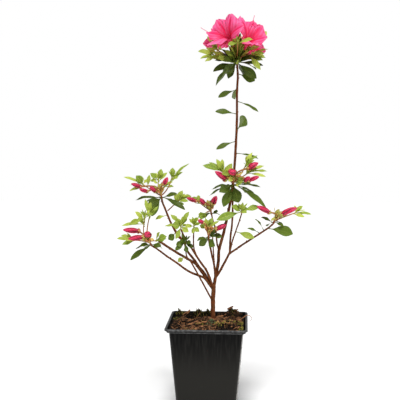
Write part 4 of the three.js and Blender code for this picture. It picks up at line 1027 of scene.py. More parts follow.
def bud_paint():
    """Closed petals: crimson pink, with painted shade in the folds under each overlapping petal edge, which
    the tint marks, and darker towards the base.
    """
    paint = Paint("bud_skin", 0.4, 0.18)
    lengthways = paint.sheet()[1]
    shade = paint.mix(paint.ramp(lengthways, 0.05, 0.95), (172, 12, 48), (218, 40, 88))
    # Painted shade in the folds, under each petal edge that overlaps the next
    shade = paint.over(shade, (56, 0, 12), paint.rest(paint.ramp(paint.tint(), 0.05, 0.7)), 0.96)
    shade = paint.over(shade, (254, 130, 162), paint.ramp(paint.sheet_noise(26, 2.2), 0.5, 0.72), 0.6)
    paint.bump(paint.sheet_noise(30, 3), 0.0003, 0.5)
    return paint.finish(shade, 0.12)


def scale_paint():
    """Thin bud scales: each tan, yellow-green or pinkish orange, and browner at its tip."""
    paint = Paint("bud_scale", 0.5, 0.3)
    lengthways = paint.sheet()[1]
    shade = paint.mix(paint.ramp(paint.tint(), 0.25, 0.65), (160, 172, 76), (208, 180, 102))
    shade = paint.mix(paint.ramp(paint.tint(), 0.7, 0.95), shade, (216, 126, 92))
    shade = paint.over(shade, (150, 104, 52), paint.ramp(lengthways, 0.6, 1.0), 0.5)
    streaks = paint.ramp(paint.sheet_noise(14, 1.5), 0.4, 0.7)
    shade = paint.over(shade, (224, 196, 120), streaks, 0.4)
    paint.bump(streaks, 0.0002, 0.4)
    return paint.finish(shade, 0.15)


# The heights, in metres, between which the bark turns to the redder shade of young wood
YOUNG_WOOD = (0.3, 0.46)


def bark_paint():
    """Young bark: reddish brown with paler flakes and fine cracks along the wood, redder high up."""
    paint = Paint("azalea_bark", 0.75, 0.08)
    height = paint.split(paint.places.outputs["Object"])[2]
    grain = paint.noise(900, 4, (1, 1, 0.22))
    shade = paint.mix(paint.ramp(grain, 0.3, 0.7), (66, 33, 14), (113, 67, 37))
    shade = paint.over(shade, (126, 87, 54), paint.spots(0.5, 0.68, 330, 4, (1, 1, 0.4)), 0.5)
    shade = paint.over(shade, (88, 40, 12), paint.ramp(height, *YOUNG_WOOD), 0.7)
    shade = paint.over(shade, (150, 66, 32), paint.tint(), 0.8)
    paint.bump(grain, 0.0006, 0.8)
    return paint.finish(shade)


def twig_paint(name, low, high, roughness=0.55):
    """A soft young stem or thread that runs from one colour to another along its length."""
    paint = Paint(name, roughness, 0.3)
    shade = paint.mix(paint.sheet()[1], low, high)
    shade = paint.over(shade, high, paint.spots(0.3, 0.7, 600, 3), 0.35)
    paint.bump(paint.noise(1500, 2), 0.0002, 0.4)
    return paint.finish(shade)


# Where the pot's shades change, in millimetres. The first four are heights.
RIM_FOOT = POT_HEIGHT - RIM_BAND
GROOVE_LEVEL = POT_HEIGHT - RIM_GROOVE_DROP
# Painted shade under the rim: black just below it, dark grey from 50 mm down
PAINTED_SHADE_UNDER_RIM = (112, 50)
STREAKS_FROM = (30, 90)
# Near the groove the rim's painted highlight fades, so the groove keeps painted shade
GROOVE_EDGE = (0.4, 1.1)
# The rim's painted highlight starts this far from the upright axis, so that the rim's inside stays black
RIM_HIGHLIGHT_FROM = (51.6, 52.2)
# The painted highlight down the front right corner lies between these distances, measured as x plus y
CORNER_HIGHLIGHT_FROM = (0.6, 2.2)
CORNER_HIGHLIGHT_TO = (5.8, 4.2)
CORNER_HIGHLIGHT_TOP = 110


def pot_paint():
    """Black moulded plastic with faint flow streaks, and painted light: shade under the rim, a grey highlight
    on the rim that leaves its groove dark, and a pale highlight down one upright corner.
    """
    paint = Paint("black_pot_plastic", 0.4, 0.09)
    x, y, height = paint.split(paint.places.outputs["Object"])
    # Painted shade: the body is black under the rim and dark grey lower down
    shade = paint.mix(paint.ramp_mm(height, *PAINTED_SHADE_UNDER_RIM), (1, 1, 1), (33, 32, 29))
    streaks = paint.spots(0.42, 0.72, 420, 2, (1, 1, 0.02))
    streaks = paint.times(streaks, paint.ramp_mm(height, *STREAKS_FROM))
    shade = paint.over(shade, (34, 33, 31), streaks, 0.6)
    # Painted highlight: grey on the rim's outer faces, kept off the groove, which stays dark as painted shade
    rim = paint.ramp_mm(height, RIM_FOOT, RIM_FOOT + 0.6)
    proud = paint.ramp_mm(paint.off(height, GROOVE_LEVEL / 1000), *GROOVE_EDGE)
    rim_highlight = paint.mix(paint.spots(0.3, 0.75, 220, 4), (50, 50, 50), (96, 96, 96))
    outward = paint.maths("MAXIMUM", paint.maths("ABSOLUTE", x), paint.maths("ABSOLUTE", y))
    rim = paint.times(rim, paint.ramp_mm(outward, *RIM_HIGHLIGHT_FROM))
    shade = paint.mix(paint.times(rim, proud), shade, rim_highlight)
    shade = paint.over(shade, (52, 49, 46), paint.spots(0.6, 0.74, 90, 5), 0.07)
    # Painted highlight: a pale, broken strip down the front right corner, below the rim
    past_edge = paint.maths("ADD", x, y)
    corner_highlight = paint.times(paint.ramp_mm(past_edge, *CORNER_HIGHLIGHT_FROM), paint.ramp_mm(past_edge, *CORNER_HIGHLIGHT_TO))
    corner_highlight = paint.times(corner_highlight, paint.ramp_mm(height, RIM_FOOT, CORNER_HIGHLIGHT_TOP))
    corner_highlight = paint.times(corner_highlight, paint.spots(0.25, 0.5, 300, 3))
    shade = paint.over(shade, (150, 148, 144), corner_highlight, 0.85)
    paint.bump(paint.noise(1400, 2), 0.0002, 0.3)
    return paint.finish(shade)


def ground_paint(name, dark, light, roughness=0.95):
    """Soil, bark chips and fibres: two shades by tint, with crumbs."""
    paint = Paint(name, roughness, 0.15)
    crumbs = paint.noise(500, 5)
    shade = paint.mix(paint.tint(), dark, light)
    lighter = paint.maths("ADD", paint.times(paint.tint(), 0.55), 0.15)
    shade = paint.over(shade, light, paint.ramp(crumbs, 0.4, 0.7), lighter)
    shade = paint.over(shade, dark, paint.spots(0.5, 0.7, 160, 3), 0.5)
    paint.bump(crumbs, 0.0012, 0.9)
    return paint.finish(shade)


class Look:
    """All materials, made once."""

    def __init__(self):
        self.young = leaf_paint("young_leaf", dark=(78, 118, 14), light=(204, 212, 90), under=(150, 170, 66),
                                vein=(200, 208, 106), roughness=0.45, shine=0.22, see_through=0.22)
        self.old = leaf_paint("old_leaf", dark=(8, 22, 0), light=(96, 120, 34), under=(78, 94, 34),
                              vein=(112, 128, 46), roughness=0.38, shine=0.14, see_through=0.08)
        self.petal = petal_paint()
        self.bud = bud_paint()
        self.bark = bark_paint()
        self.stem = twig_paint("young_stem", (132, 60, 44), (162, 116, 58))
        self.scale = scale_paint()
        self.stalk = twig_paint("bloom_stalk", (150, 150, 70), (196, 92, 86))
        self.filament = twig_paint("stamen_thread", (214, 34, 88), (232, 92, 138), 0.4)
        self.anther = twig_paint("anther", (140, 40, 70), (170, 60, 90), 0.6)
        self.pot = pot_paint()
        self.soil = ground_paint("peat", (8, 5, 3), (50, 34, 20))
        self.chip = ground_paint("bark_chip", (13, 8, 4), (172, 120, 82), 0.85)
        self.moss = ground_paint("moss", (40, 44, 16), (170, 158, 74), 0.9)
        self.lichen = ground_paint("grey_moss", (58, 70, 44), (116, 128, 92), 0.9)


# Leaves

BLADE_SEED = 5000
CORE_RADII = (1.0, 1.45, 1.5, 1.4, 1.0)
STEM_RADII = (0.95, 0.65)
STEM_END_RADIUS = 0.8
# New leaves that stand up from the end of every young stem: how many, their length, width and lean
LEAFLETS = 6
LEAFLET_LENGTH = (7, 14)
LEAFLET_WIDTH = (2.2, 3.8)
LEAFLET_LEAN = (0.2, 1.0)
# Narrow leaves among the bloom stalks of a tip without buds
CROWN_SEED = BLADE_SEED + 7
CROWN_LEAVES = 30
CROWN_RISE = (5, 30)
CROWN_REACH = (3, 19)
CROWN_WIDTH = (3.4, 6.2)
# More of them that the photo shows between and below the blooms: x, y and z of the tip, and width
CROWN_NEAR = [
    (-29, -6, 11, 9), (-24, -10, 15, 9), (-16, -12, 17, 9), (-27, -2, 8, 8), (-10, -10, 23, 7),
    (-21, -4, 20, 7), (0, -2, 36, 6), (4, 2, 42, 6), (7, -1, 37, 6), (1, 4, 31, 7), (10, 3, 34, 6),
    (-3, 2, 28, 7), (5, -5, 27, 7), (18, -8, 15, 8), (-7, 0, 34, 7), (26, -6, 11, 8), (-4, 3, 39, 7),
    (-8, 6, 26, 7), (-10, 3, 31, 7),
]
# Old leaves that hang in the shade of what grows above them, and by what share their tints are lowered to
TIP_SHADES = {"top_old_leaves": 0.4, "middle_old_leaves": 0.7}


def add_leaflets(form, at, ahead, draw, look):
    """A tuft of new leaves at a stem's end."""
    side = side_of(ahead, (0.2, 0.9, 0.4))
    first = draw(0, FULL_TURN)
    for k in range(LEAFLETS):
        out = spun(side, ahead, first + FULL_TURN * k * SPREAD)
        lean = draw(*LEAFLET_LEAN)
        end = at + unit(unit(ahead + vec((0, 0, 0.5))) + out * lean) * draw(*LEAFLET_LENGTH)
        width = draw(*LEAFLET_WIDTH)
        add_blade(form, at - ahead * 0.6, end, width, draw(-20, 50), draw, look, YOUNG_OUTLINE)


def add_grown(form, grown, node, core_look, outline):
    """Fine stems, twig lengths and leaves for what grew on a node."""
    draw = make_draw(BLADE_SEED + 97 * len(node) + ord(node[0]))
    for kind, *facts in grown:
        if kind == "core":
            low, high = facts[0]
            reach = unit(high - low) * 0.5
            course = [along(low - reach, high + reach, t) for t in (0, 0.2, 0.5, 0.8, 1)]
            form.tube(course, CORE_RADII, 10, 0.4, core_look)
        elif kind == "stem":
            course = facts[0]
            if len(course) == 2:
                course = [along(*course, t) for t in (0, 0.25, 0.5, 0.75, 1)]
            radii = tapered(*STEM_RADII, len(course) - 1)
            radii[-1] = STEM_END_RADIUS
            form.tube(course, radii, 8, 0.5, core_look)
            add_leaflets(form, course[-1], unit(course[-1] - course[-2]), draw, 0)
        else:
            foot, tip, width, face = facts
            add_blade(form, foot, tip, width, face, draw, 0, outline)


def add_crown(form, tip):
    """Narrow new leaves that stand up around a tip that carries blooms, and a few old ones among them."""
    draw = make_draw(CROWN_SEED)
    at, axis = tip_frame(tip)
    side = side_of(axis, (0.2, 1, 0.1))
    for k in range(CROWN_LEAVES):
        out = spun(side, axis, FULL_TURN * k * SPREAD)
        end = at + axis * draw(*CROWN_RISE) + out * draw(*CROWN_REACH)
        foot = at + axis * draw(0, 3) + out
        width = draw(*CROWN_WIDTH)
        add_blade(form, foot, end, width, draw(0, 60), draw, 0, YOUNG_OUTLINE)
    for k, (x, y, z, width) in enumerate(CROWN_NEAR):
        foot = at + axis * draw(0, 3) + unit(vec((x, y, 0)))
        add_blade(form, foot, at + vec((x, y, z)), width, draw(0, 50), draw, 2 * (k % 2), OLD_OUTLINE)


def make_leaves(looks, node, grown, old, crowned=None):
    form = Form()
    add_grown(form, grown, node, 1, OLD_OUTLINE if old else YOUNG_OUTLINE)
    paints = [looks.old, looks.bark] if old else [looks.young, looks.stem]
    if crowned:
        add_crown(form, crowned)
        paints.append(looks.old)
    form.tints = [tint * TIP_SHADES.get(node, 1) for tint in form.tints]
    form.piece(f"{node}_fine", paints, "leaf_old" if old else "leaf_young", node)


# Buds

BUD_FOLDS = 4
BUD_SIDES = 36
BUD_STATIONS = 17
BUD_TWIST = 0.75
BUD_BEND = 0.04
BUD_CORE_RADII = (1.2, 1.6, 1.5, 0.5)
BUD_STALK_RADII = (0.8, 1.28)
# How far a petal edge of the closed bud stands out over the next one, as a share of the radius
BUD_EDGE = 0.17
# The bud's radius as a share of its greatest one, at shares of its length
BUD_RADII = [(0, 0.4), (0.12, 0.74), (0.36, 1), (0.6, 0.94), (0.78, 0.75), (0.92, 0.42), (1, 0.08)]
# Small scales that clasp a bud's foot: place along the scale, half width and distance from the bud's axis
SEPALS = 5
SEPAL_LENGTH = (0.5, 0.72)
SEPAL_ROWS = ((0, 0.22, 0.2), (0.35, 0.26, 0.46), (0.7, 0.17, 0.56), (1, 0.02, 0.56))
# Long scales around the buds of a tip
SCALES_PER_TIP = 13
SCALE_RISE = (1, 10)
SCALE_REACH = (2.6, 7.5)
SCALE_WIDTH = (3.0, 5.0)


def bud_radius(t):
    """A smooth curve through the bud's radii."""
    for (low, a), (high, b) in zip(BUD_RADII, BUD_RADII[1:]):
        if t <= high:
            return a + (b - a) * smooth(low, high, t) * 0.5 + (b - a) * (t - low) / (high - low) * 0.5
    return BUD_RADII[-1][1]


def add_bud(form, base, point, thickness, draw):
    ahead = unit(point - base)
    side = side_of(ahead, (0.3, 0.8, 0.5))
    phase = draw(0, 1)
    bend = spun(side, ahead, draw(0, FULL_TURN)) * np.linalg.norm(point - base) * BUD_BEND
    course, radii, tints = [], [], []
    for i in range(BUD_STATIONS):
        t = i / (BUD_STATIONS - 1)
        course.append(along(base, point, t) + bend * 4 * t * (1 - t))
        ring, shades = [], []
        for k in range(BUD_SIDES):
            across = (BUD_FOLDS * k / BUD_SIDES + BUD_TWIST * t + phase) % 1
            rise = smooth(0, 0.55, across) * (1 - 0.5 * smooth(0.8, 1, across))
            ring.append(thickness / 2 * bud_radius(t) * (1.03 - BUD_EDGE * (1 - rise) * smooth(0, 0.25, t)))
            # The tint is low just past each fold, for painted shade under the overlapping edge
            shades.append(rise)
        radii.append(ring)
        tints.append(shades)
    form.tube(course, radii, BUD_SIDES, tints, 0)


def add_sepals(form, base, point, thickness, draw, look):
    """Small scales that clasp a bud or a bloom's tube at its foot."""
    ahead = unit(point - base)
    side = side_of(ahead, (0.3, 0.8, 0.5))
    for k in range(SEPALS):
        out = spun(side, ahead, FULL_TURN * (k + draw(-0.2, 0.2)) / SEPALS)
        across = np.cross(ahead, out)
        length = thickness * draw(*SEPAL_LENGTH)
        rows = []
        for t, half, rise in SEPAL_ROWS:
            middle = base + ahead * (length * t - 0.8) + out * thickness * rise
            rows.append([middle + across * thickness * half * u - out * thickness * 0.1 * half * u * u * 4
                         for u in (-1, -0.5, 0, 0.5, 1)])
        form.sheet(rows, draw(0, 1), look)


def make_buds(looks, tip):
    node = f"{tip['name']}_buds"
    draw = make_draw(BLADE_SEED + 31 * len(node))
    form = Form()
    at, axis = tip_frame(tip)
    low, high = BUD_CORE
    foot = at + axis * (low + high) / 2
    course = [at + axis * along(low - 0.6, high + 1.2, t) for t in (0, 0.3, 0.7, 1)]
    form.tube(course, BUD_CORE_RADII, 10, 0.4, 1)
    for bud in tip["buds"]:
        base, point, thickness = bud_ends(bud, at)
        stalk = stem_course(foot, axis, along(base, point, 0.08), 8)
        form.tube(stalk, tapered(*BUD_STALK_RADII, 8), 8, 0.5, 2)
        add_bud(form, base, point, thickness, draw)
        add_sepals(form, base, point, thickness, draw, 1)
    for x, y, z, width in tip["scales"]:
        add_blade(form, foot, vec((x, y, z)) + at, width, SCALE_FACE, draw, 1)
    side = side_of(axis, (0.2, 1, 0.1))
    for k in range(SCALES_PER_TIP):
        out = spun(side, axis, FULL_TURN * k / SCALES_PER_TIP + draw(-0.4, 0.4))
        end = at + axis * draw(high + SCALE_RISE[0], high + SCALE_RISE[1]) + out * draw(*SCALE_REACH)
        add_blade(form, at + axis * (low - 2.5) + out * 1.1, end, draw(*SCALE_WIDTH), 40, draw, 1)
    form.piece(f"{node}_fine", [looks.bud, looks.scale, looks.stem], "bud", node)


# Blooms

PETAL_ROWS = [0, 0.07, 0.15, 0.26, 0.36, 0.46, 0.55, 0.64, 0.72, 0.79, 0.85, 0.9, 0.94, 0.975, 1]
PETAL_COLUMNS = [k / 10 for k in range(-10, 11)]
# The petal's half width at shares of its length
PETAL_SHARES = [
    (0, 0.22), (0.26, 0.42), (0.52, 0.88), (0.7, 1), (0.8, 1), (0.9, 0.86), (0.96, 0.66), (1, 0.4),
]
# How far each of these lifts or sinks a petal's surface, and the range of a petal's own share of the fold
PETAL_FRILL = 1.7
PETAL_GROOVE = 1.3
PETAL_FOLD = 1.5
PETAL_WRINKLE = 0.28
PETAL_TIP_WAVE = 0.8
PETAL_FOLD_SPREAD = (0.7, 1.2)
# How closely frills follow one another along a petal, and wrinkles and tip waves across it: higher is closer
FRILL_PACE = (2.4, 3.6)
WRINKLE_PACE = 17
TIP_WAVE_PACE = 7.5
# How far the groove along the midrib spreads, as a share of the petal's half width
GROOVE_SPREAD = 0.17
# A petal's own shade, and by how much frills and wrinkles lighten it and the groove darkens it, as painted
# light on their crests and painted shade in their troughs and in the groove
PETAL_SHADE = (0.35, 0.65)
FRILL_PAINTED_LIGHT = 0.22
WRINKLE_PAINTED_LIGHT = 0.12
GROOVE_PAINTED_SHADE = 0.45
FUNNEL_RADII = [1.3, 1.9, 2.9, 4.0]
BLOOM_STALK_RADII = (0.75, 1.15)
# The funnel takes the petals' colour from this part of their length
FUNNEL_COLOUR = (0.12, 0.3)
THREAD_STEPS = 8
THREAD_SIDES = 6
# A stamen's and the pistil's thread radii, the length of the knob at the end, and the knob's look
STAMEN = ((0.42, 0.3), 1.8, 3)
PISTIL = ((0.5, 0.38), 1.4, 2)
KNOB_RADIUS = 0.5
KNOB_STOPS = [(-0.5, 0.25), (-0.25, 0.85), (0.05, 1), (0.35, 0.8), (0.5, 0.2)]


def add_petal(form, bloom, offset, draw):
    shape = petal_frame(bloom, offset)
    phase, count = draw(0, FULL_TURN), draw(*FRILL_PACE)
    shade = draw(*PETAL_SHADE)
    fold = PETAL_FOLD * draw(*PETAL_FOLD_SPREAD)
    rows, tints = [], []
    for t in PETAL_ROWS:
        share = float(np.interp(t, *zip(*PETAL_SHARES)))
        open_part = smooth(0.2, 0.6, t)
        row, row_tints = [], []
        for u in PETAL_COLUMNS:
            point, normal = petal_point(shape, t, u, share)
            frill = math.sin(count * math.pi * t * 1.6 + phase + (1.3 if u > 0 else 0))
            groove = math.exp(-(u / GROOVE_SPREAD) ** 2) * smooth(0.08, 0.3, t)
            groove *= 1 - 0.7 * smooth(0.7, 1, t)
            wrinkle = math.sin(WRINKLE_PACE * u + 2 * phase + 1.5 * math.sin(5 * t))
            lift = PETAL_FRILL * smooth(0.35, 0.95, t) * abs(u) ** 1.8 * frill
            lift += PETAL_TIP_WAVE * smooth(0.78, 1, t) * math.sin(TIP_WAVE_PACE * u + phase)
            lift -= PETAL_GROOVE * groove
            lift -= fold * open_part * (u * u - 0.3)
            lift += PETAL_WRINKLE * open_part * wrinkle
            row.append(point + normal * lift)
            # The tint carries painted light and shade: lighter on frill and wrinkle crests, darker in their
            # troughs and in the groove along the midrib
            light = shade + FRILL_PAINTED_LIGHT * frill * abs(u) ** 2
            light += WRINKLE_PAINTED_LIGHT * wrinkle * open_part
            light -= GROOVE_PAINTED_SHADE * groove
            row_tints.append(clamped(light))
        rows.append(row)
        tints.append(row_tints)
    form.sheet(rows, tints, 0)


def add_thread(form, start, bow, end, radii, knob_length, knob_look):
    """A thin thread with a small pointed oval at its end."""
    course = bezier_course(start, bow, end, THREAD_STEPS)
    form.tube(course, tapered(*radii, THREAD_STEPS), THREAD_SIDES, 0.5, 2)
    ahead = unit(course[-1] - course[-2])
    middle = course[-1] - ahead * knob_length * 0.3
    knob = [middle + ahead * knob_length * s for s, _ in KNOB_STOPS]
    form.tube(knob, [KNOB_RADIUS * r for _, r in KNOB_STOPS], 8, 0.5, knob_look)


def make_bloom(looks, index, bloom, node):
    draw = make_draw(BLADE_SEED + 1009 * (index + 1))
    form = Form()
    throat, facing = bloom_frame(bloom)
    calyx, outward, foot = bloom_stalk(bloom)
    for offset in bloom["petals"]:
        add_petal(form, bloom, offset, draw)
    funnel = [calyx, along(calyx, throat, 0.4), throat - facing * 2, throat + facing * 2.5]
    start_row = len(form.points)
    form.tube(funnel, FUNNEL_RADII, 16, 0.5, 0, ends=(True, False))
    for k in range(start_row, len(form.points)):
        form.uvs[k] = (form.uvs[k][0], FUNNEL_COLOUR[0] + FUNNEL_COLOUR[1] * form.uvs[k][1])
    bend = along(foot, calyx, 0.5) + facing * 0.5
    stalk = bezier_course(foot - unit(outward) * 0.6, bend, calyx + facing * 0.8, 8)
    form.tube(stalk, tapered(*BLOOM_STALK_RADII, 8), 8, 0.5, 1)
    add_sepals(form, calyx + facing * 0.8, throat, 3.6, draw, 1)
    for i in range(STAMENS + 1):
        start, end = stamen_ends(bloom, i)
        bow = along(start, end, 0.55) + vec((0, 0, -2.5)) + spun(sideways_of(facing), facing, i * 1.3) * 1.2
        add_thread(form, start, bow, end, *(PISTIL if i == STAMENS else STAMEN))
    form.piece(f"{node}_fine", [looks.petal, looks.stalk, looks.filament, looks.anther], "petal", node)


# The wood

WOOD_SEED = 77
WOOD_STEPS = 7
WOOD_THINNER = 0.93
TRUNK_SIDES = 16
BRANCH_SIDES = 11
KNOT_SPACING = 11
KNOT_HEIGHT = 0.17
# A pale swelling on the upper left branch
SWELLING_AT = (-43, 18, 236)
SWELLING_LENGTH = 4.5
SWELLING_HEIGHT = 1.1
SCAR_SPACING = (9, 19)
SCAR_LOWEST = SOIL_LEVEL + 12


def make_wood(looks):
    form = Form()
    draw = make_draw(WOOD_SEED)
    for first, final, points in BRANCHES:
        course = branch_course(points, WOOD_STEPS * (len(points) - 1))
        last = len(course) - 1
        sides = TRUNK_SIDES if first > 3 else BRANCH_SIDES
        reach = [0.0, *np.cumsum([np.linalg.norm(b - a) for a, b in zip(course, course[1:])])]
        phase, lobe = draw(0, 6.28), draw(0, 6.28)
        radii, tints = [], []
        for i, point in enumerate(course):
            place = (reach[i] + phase * 3) / KNOT_SPACING
            knot = math.exp(-((place % 1 - 0.5) / 0.12) ** 2)
            swell = math.exp(-(np.linalg.norm(point - vec(SWELLING_AT)) / SWELLING_LENGTH) ** 2)
            plain = along(first, final, i / last) * WOOD_THINNER
            plain = plain + KNOT_HEIGHT * knot + SWELLING_HEIGHT * swell
            ring = []
            # Two waves around and along the wood make it uneven
            for k in range(sides):
                angle = FULL_TURN * k / sides
                rough = 0.05 * math.sin(3 * angle + lobe + reach[i] * 0.35)
                rough += 0.035 * math.sin(5 * angle - reach[i] * 0.8)
                ring.append(plain * (1 + rough))
            radii.append(ring)
            tints.append([min(1.0, 0.9 * swell + 0.25 * knot)] * sides)
        form.tube(course, radii, sides, tints, 0)
        add_scars(form, course, reach, first, final, draw)
    form.piece("trunk_and_branches_fine", [looks.bark], "bark", "trunk_and_branches")


def add_scars(form, course, reach, first, final, draw):
    """Small leaf scars and resting buds that stand out of the bark."""
    place = draw(6, 16)
    while place < reach[-1] - 4:
        i = int(np.searchsorted(reach, place))
        ahead = unit(course[min(i + 1, len(course) - 1)] - course[i - 1])
        out = spun(side_of(ahead, (0.31, 0.77, 0.55)), ahead, draw(0, FULL_TURN))
        foot = course[i] + out * along(first, final, place / reach[-1]) * 0.7
        tip = foot + out * draw(0.8, 1.3) + ahead * draw(0.8, 1.5)
        if course[i][2] > SCAR_LOWEST:
            form.tube([foot, along(foot, tip, 0.5), tip], [0.75, 0.6, 0.15], 6, 0.5, 0)
        place += draw(*SCAR_SPACING)


# The pot

POT_CORNER_STEPS = 10
DRAIN_SIDES = 24
DRILL_DEPTH = 20
FLOOR_LEVEL = WALL + 0.4


def square_ring(width, z, radius, corner_steps, side_steps=1):
    """A square with rounded corners, as one ring at height z."""
    straight = width / 2 - radius
    corners = [(straight * x, straight * y) for x, y in ((1, 1), (-1, 1), (-1, -1), (1, -1))]
    ring = []
    for corner, (cx, cy) in enumerate(corners):
        for i in range(corner_steps + 1):
            angle = math.pi / 2 * (corner + i / corner_steps)
            ring.append(vec((cx + radius * math.cos(angle), cy + radius * math.sin(angle), z)))
        turn = math.pi / 2 * (corner + 1)
        nx, ny = corners[(corner + 1) % 4]
        far = vec((nx + radius * math.cos(turn), ny + radius * math.sin(turn), z))
        near = ring[-1]
        ring.extend(along(near, far, k / side_steps) for k in range(1, side_steps))
    return ring


def body_width(z):
    return BASE_WIDTH + (BODY_TOP_WIDTH - BASE_WIDTH) * z / RIM_FOOT


def make_pot(looks):
    in_groove = RIM_WIDTH - 2 * RIM_GROOVE_DEPTH
    # The profile, as widths and heights, up the outside and down the inside
    outside = [
        (BASE_WIDTH - 2 * FOOT_BEVEL, 0), (BASE_WIDTH - 0.9, 0.5), (body_width(FOOT_BEVEL), FOOT_BEVEL),
        (body_width(RIM_FOOT - 0.3), RIM_FOOT - 0.3), (BODY_TOP_WIDTH + 0.6, RIM_FOOT),
        (in_groove - 1.2, RIM_FOOT + 0.1), (in_groove - 0.4, RIM_FOOT + 0.4),
        (in_groove + 0.6, GROOVE_LEVEL - 0.9), (in_groove + 0.2, GROOVE_LEVEL - 0.4),
        (in_groove, GROOVE_LEVEL), (RIM_WIDTH - 0.9, GROOVE_LEVEL + 0.3), (RIM_WIDTH, GROOVE_LEVEL + 0.6),
        (RIM_WIDTH, POT_HEIGHT - LIP_BEVEL), (RIM_WIDTH - 0.5, POT_HEIGHT - 0.2),
        (RIM_WIDTH - 2 * LIP_BEVEL, POT_HEIGHT),
    ]
    inside = [
        (RIM_WIDTH - 5.4, POT_HEIGHT), (RIM_WIDTH - 6.1, POT_HEIGHT - 0.3), (RIM_WIDTH - 6.4, POT_HEIGHT - 1),
        (RIM_WIDTH - 8, RIM_FOOT + 1.5), (BODY_TOP_WIDTH - 2 * WALL + 0.4, RIM_FOOT - 0.6),
        (BODY_TOP_WIDTH - 2 * WALL, RIM_FOOT - 1.5), (body_width(FLOOR_LEVEL) - 2 * WALL, FLOOR_LEVEL),
    ]
    form = Form()
    rings = [square_ring(width, z, CORNER_RADIUS, POT_CORNER_STEPS) for width, z in [*outside, *inside]]
    start = form.sheet(rings, closed=True)
    count = len(rings[0])
    form.cap(start, count)
    form.cap(start + (len(rings) - 1) * count, count, back=True)
    pot = form.piece("pot_fine", [looks.pot], "pot", "pot")
    for x in (-DRAIN_HOLE_PLACE, DRAIN_HOLE_PLACE):
        for y in (-DRAIN_HOLE_PLACE, DRAIN_HOLE_PLACE):
            bpy.ops.mesh.primitive_cylinder_add(
                vertices=DRAIN_SIDES, radius=DRAIN_HOLE_RADIUS / 1000, depth=DRILL_DEPTH / 1000,
                location=(x / 1000, y / 1000, 0))
            drill = bpy.context.object
            cut = pot.modifiers.new("drain", "BOOLEAN")
            cut.object = drill
            cut.operation = "DIFFERENCE"
            cut.solver = "EXACT"
            bpy.context.view_layer.objects.active = pot
            bpy.ops.object.modifier_apply(modifier=cut.name)
            bpy.data.objects.remove(drill)


# The soil

GROUND_SEED = 4711
SOIL_SEED = 2024
SOIL_RINGS = 46
SOIL_CORNER_STEPS = 4
SOIL_SIDE_STEPS = 27
SOIL_HALF = 48.5
# Heaps and hollows of the soil's top that the photo shows: x, y, radius and height
HEAPS = [
    (-44, 44, 4, 8), (-35, 42, 5, 2), (-24, 44, 6, 1), (-16, 45, 5, 8), (-3, 46, 4, 7.5), (16, 45, 5, 4),
    (30, 45, 6, 9), (40, 44, 5, 7), (46, 22, 5, 2.5), (-24, 30, 8, -4), (26, -28, 10, -5), (5, -14, 4.5, 6),
    (14, -16, 5, 2), (22, -8, 5, 2), (31, -2, 5, 2.5), (40, 2, 5, 3), (46, -14, 5, 3), (47, -32, 5, 2),
    (-12, 10, 6, 1), (-40, 12, 7, -3), (8, 34, 9, -4), (-30, 18, 6, 2), (-14, -36, 9, 1.5),
    (-44, -30, 6, 1), (36, 22, 6, -3), (-8, 28, 8, -3), (-34, -6, 7, -3), (-30, 44, 10, 2.5), (0, 44, 12, 2),
    (30, 42, 12, 2.5), (-46, 10, 9, 3), (-46, -20, 9, 3), (-46, -42, 7, 3), (47, 10, 7, 2), (47, -22, 8, 2),
]
# How far hollows reach below the shoulder at most, and over what rise from about there the top gets lighter,
# so that the hollows hold painted shade
HOLLOW_DEPTH = 2.5
HOLLOW_SHADE_RISE = 9
LUMPS = 700
LUMP_RADIUS = (1.0, 3.4)
LUMP_HEIGHT = (-1.9, 1.7)
CHIPS = 900
CHIP_LENGTH = (1.2, 6.5)
CHIP_BREADTH = (0.4, 0.85)
CHIP_TILT = (-35, 35)
CHIP_SIDES = 6
# Places along a chip, and its width there as a share of the greatest one
CHIP_ROWS = ((-0.5, 0.55), (-0.3, 0.95), (0.1, 1), (0.38, 0.85), (0.5, 0.4))
FIBRES = 90
FIBRE_LENGTH = (6, 20)
FIBRE_RADIUS = (0.22, 0.42)
MOSS_SPRIGS = 1300
SPRIG_RADII = (0.4, 0.45, 0.12)
SPRIG_LEAN = (-0.6, 0.6)
SPRIG_TALL = (0.6, 1.25)
MOSS_SPREAD = 1.5
# Patches of moss: x, y, radius, tint (0 grey-green, 1 yellow-green) and the sprigs' height. The first three
# make the grey ball at the trunk's foot.
MOSS_PATCHES = [
    (5, -14, 4, 0, 1.6), (4, -15, 4, 0, 1.6), (6, -13, 3, 0, 1.6), (14, -16, 4, 0.9, 1.5),
    (22, -8, 4, 0.85, 1.5), (31, -2, 5, 0.8, 1.5), (40, 2, 5, 0.9, 1.6), (46, -14, 4, 0.7, 1.6),
    (47, -32, 4, 0.8, 1.6), (-9, -13, 5, 0.9, 1.6), (-15, 46, 6, 0.35, 3.4), (-2, 47, 6, 0.3, 3),
    (-44, 45, 5, 0.6, 3), (-46, 20, 5, 0.5, 1.8), (32, 44, 7, 0.2, 2.4), (-24, -40, 7, 0.4, 1.5),
]
# Where the top is lighter or darker than elsewhere: x, y, radius and by how much. Most of the darker ones lie
# over hollows and are painted shade there.
SHADES = [
    (-14, -40, 14, 0.55), (-3, -24, 8, 0.4), (20, 8, 8, 0.5), (-30, 20, 8, 0.5), (38, 36, 8, 0.2),
    (10, 4, 9, 0.25), (26, -28, 11, -0.8), (-42, -12, 10, -0.4), (2, 34, 15, -0.6), (-44, 32, 8, -0.3),
    (44, -34, 6, -0.3), (-20, 36, 9, -0.4), (-26, -2, 9, -0.35),
]
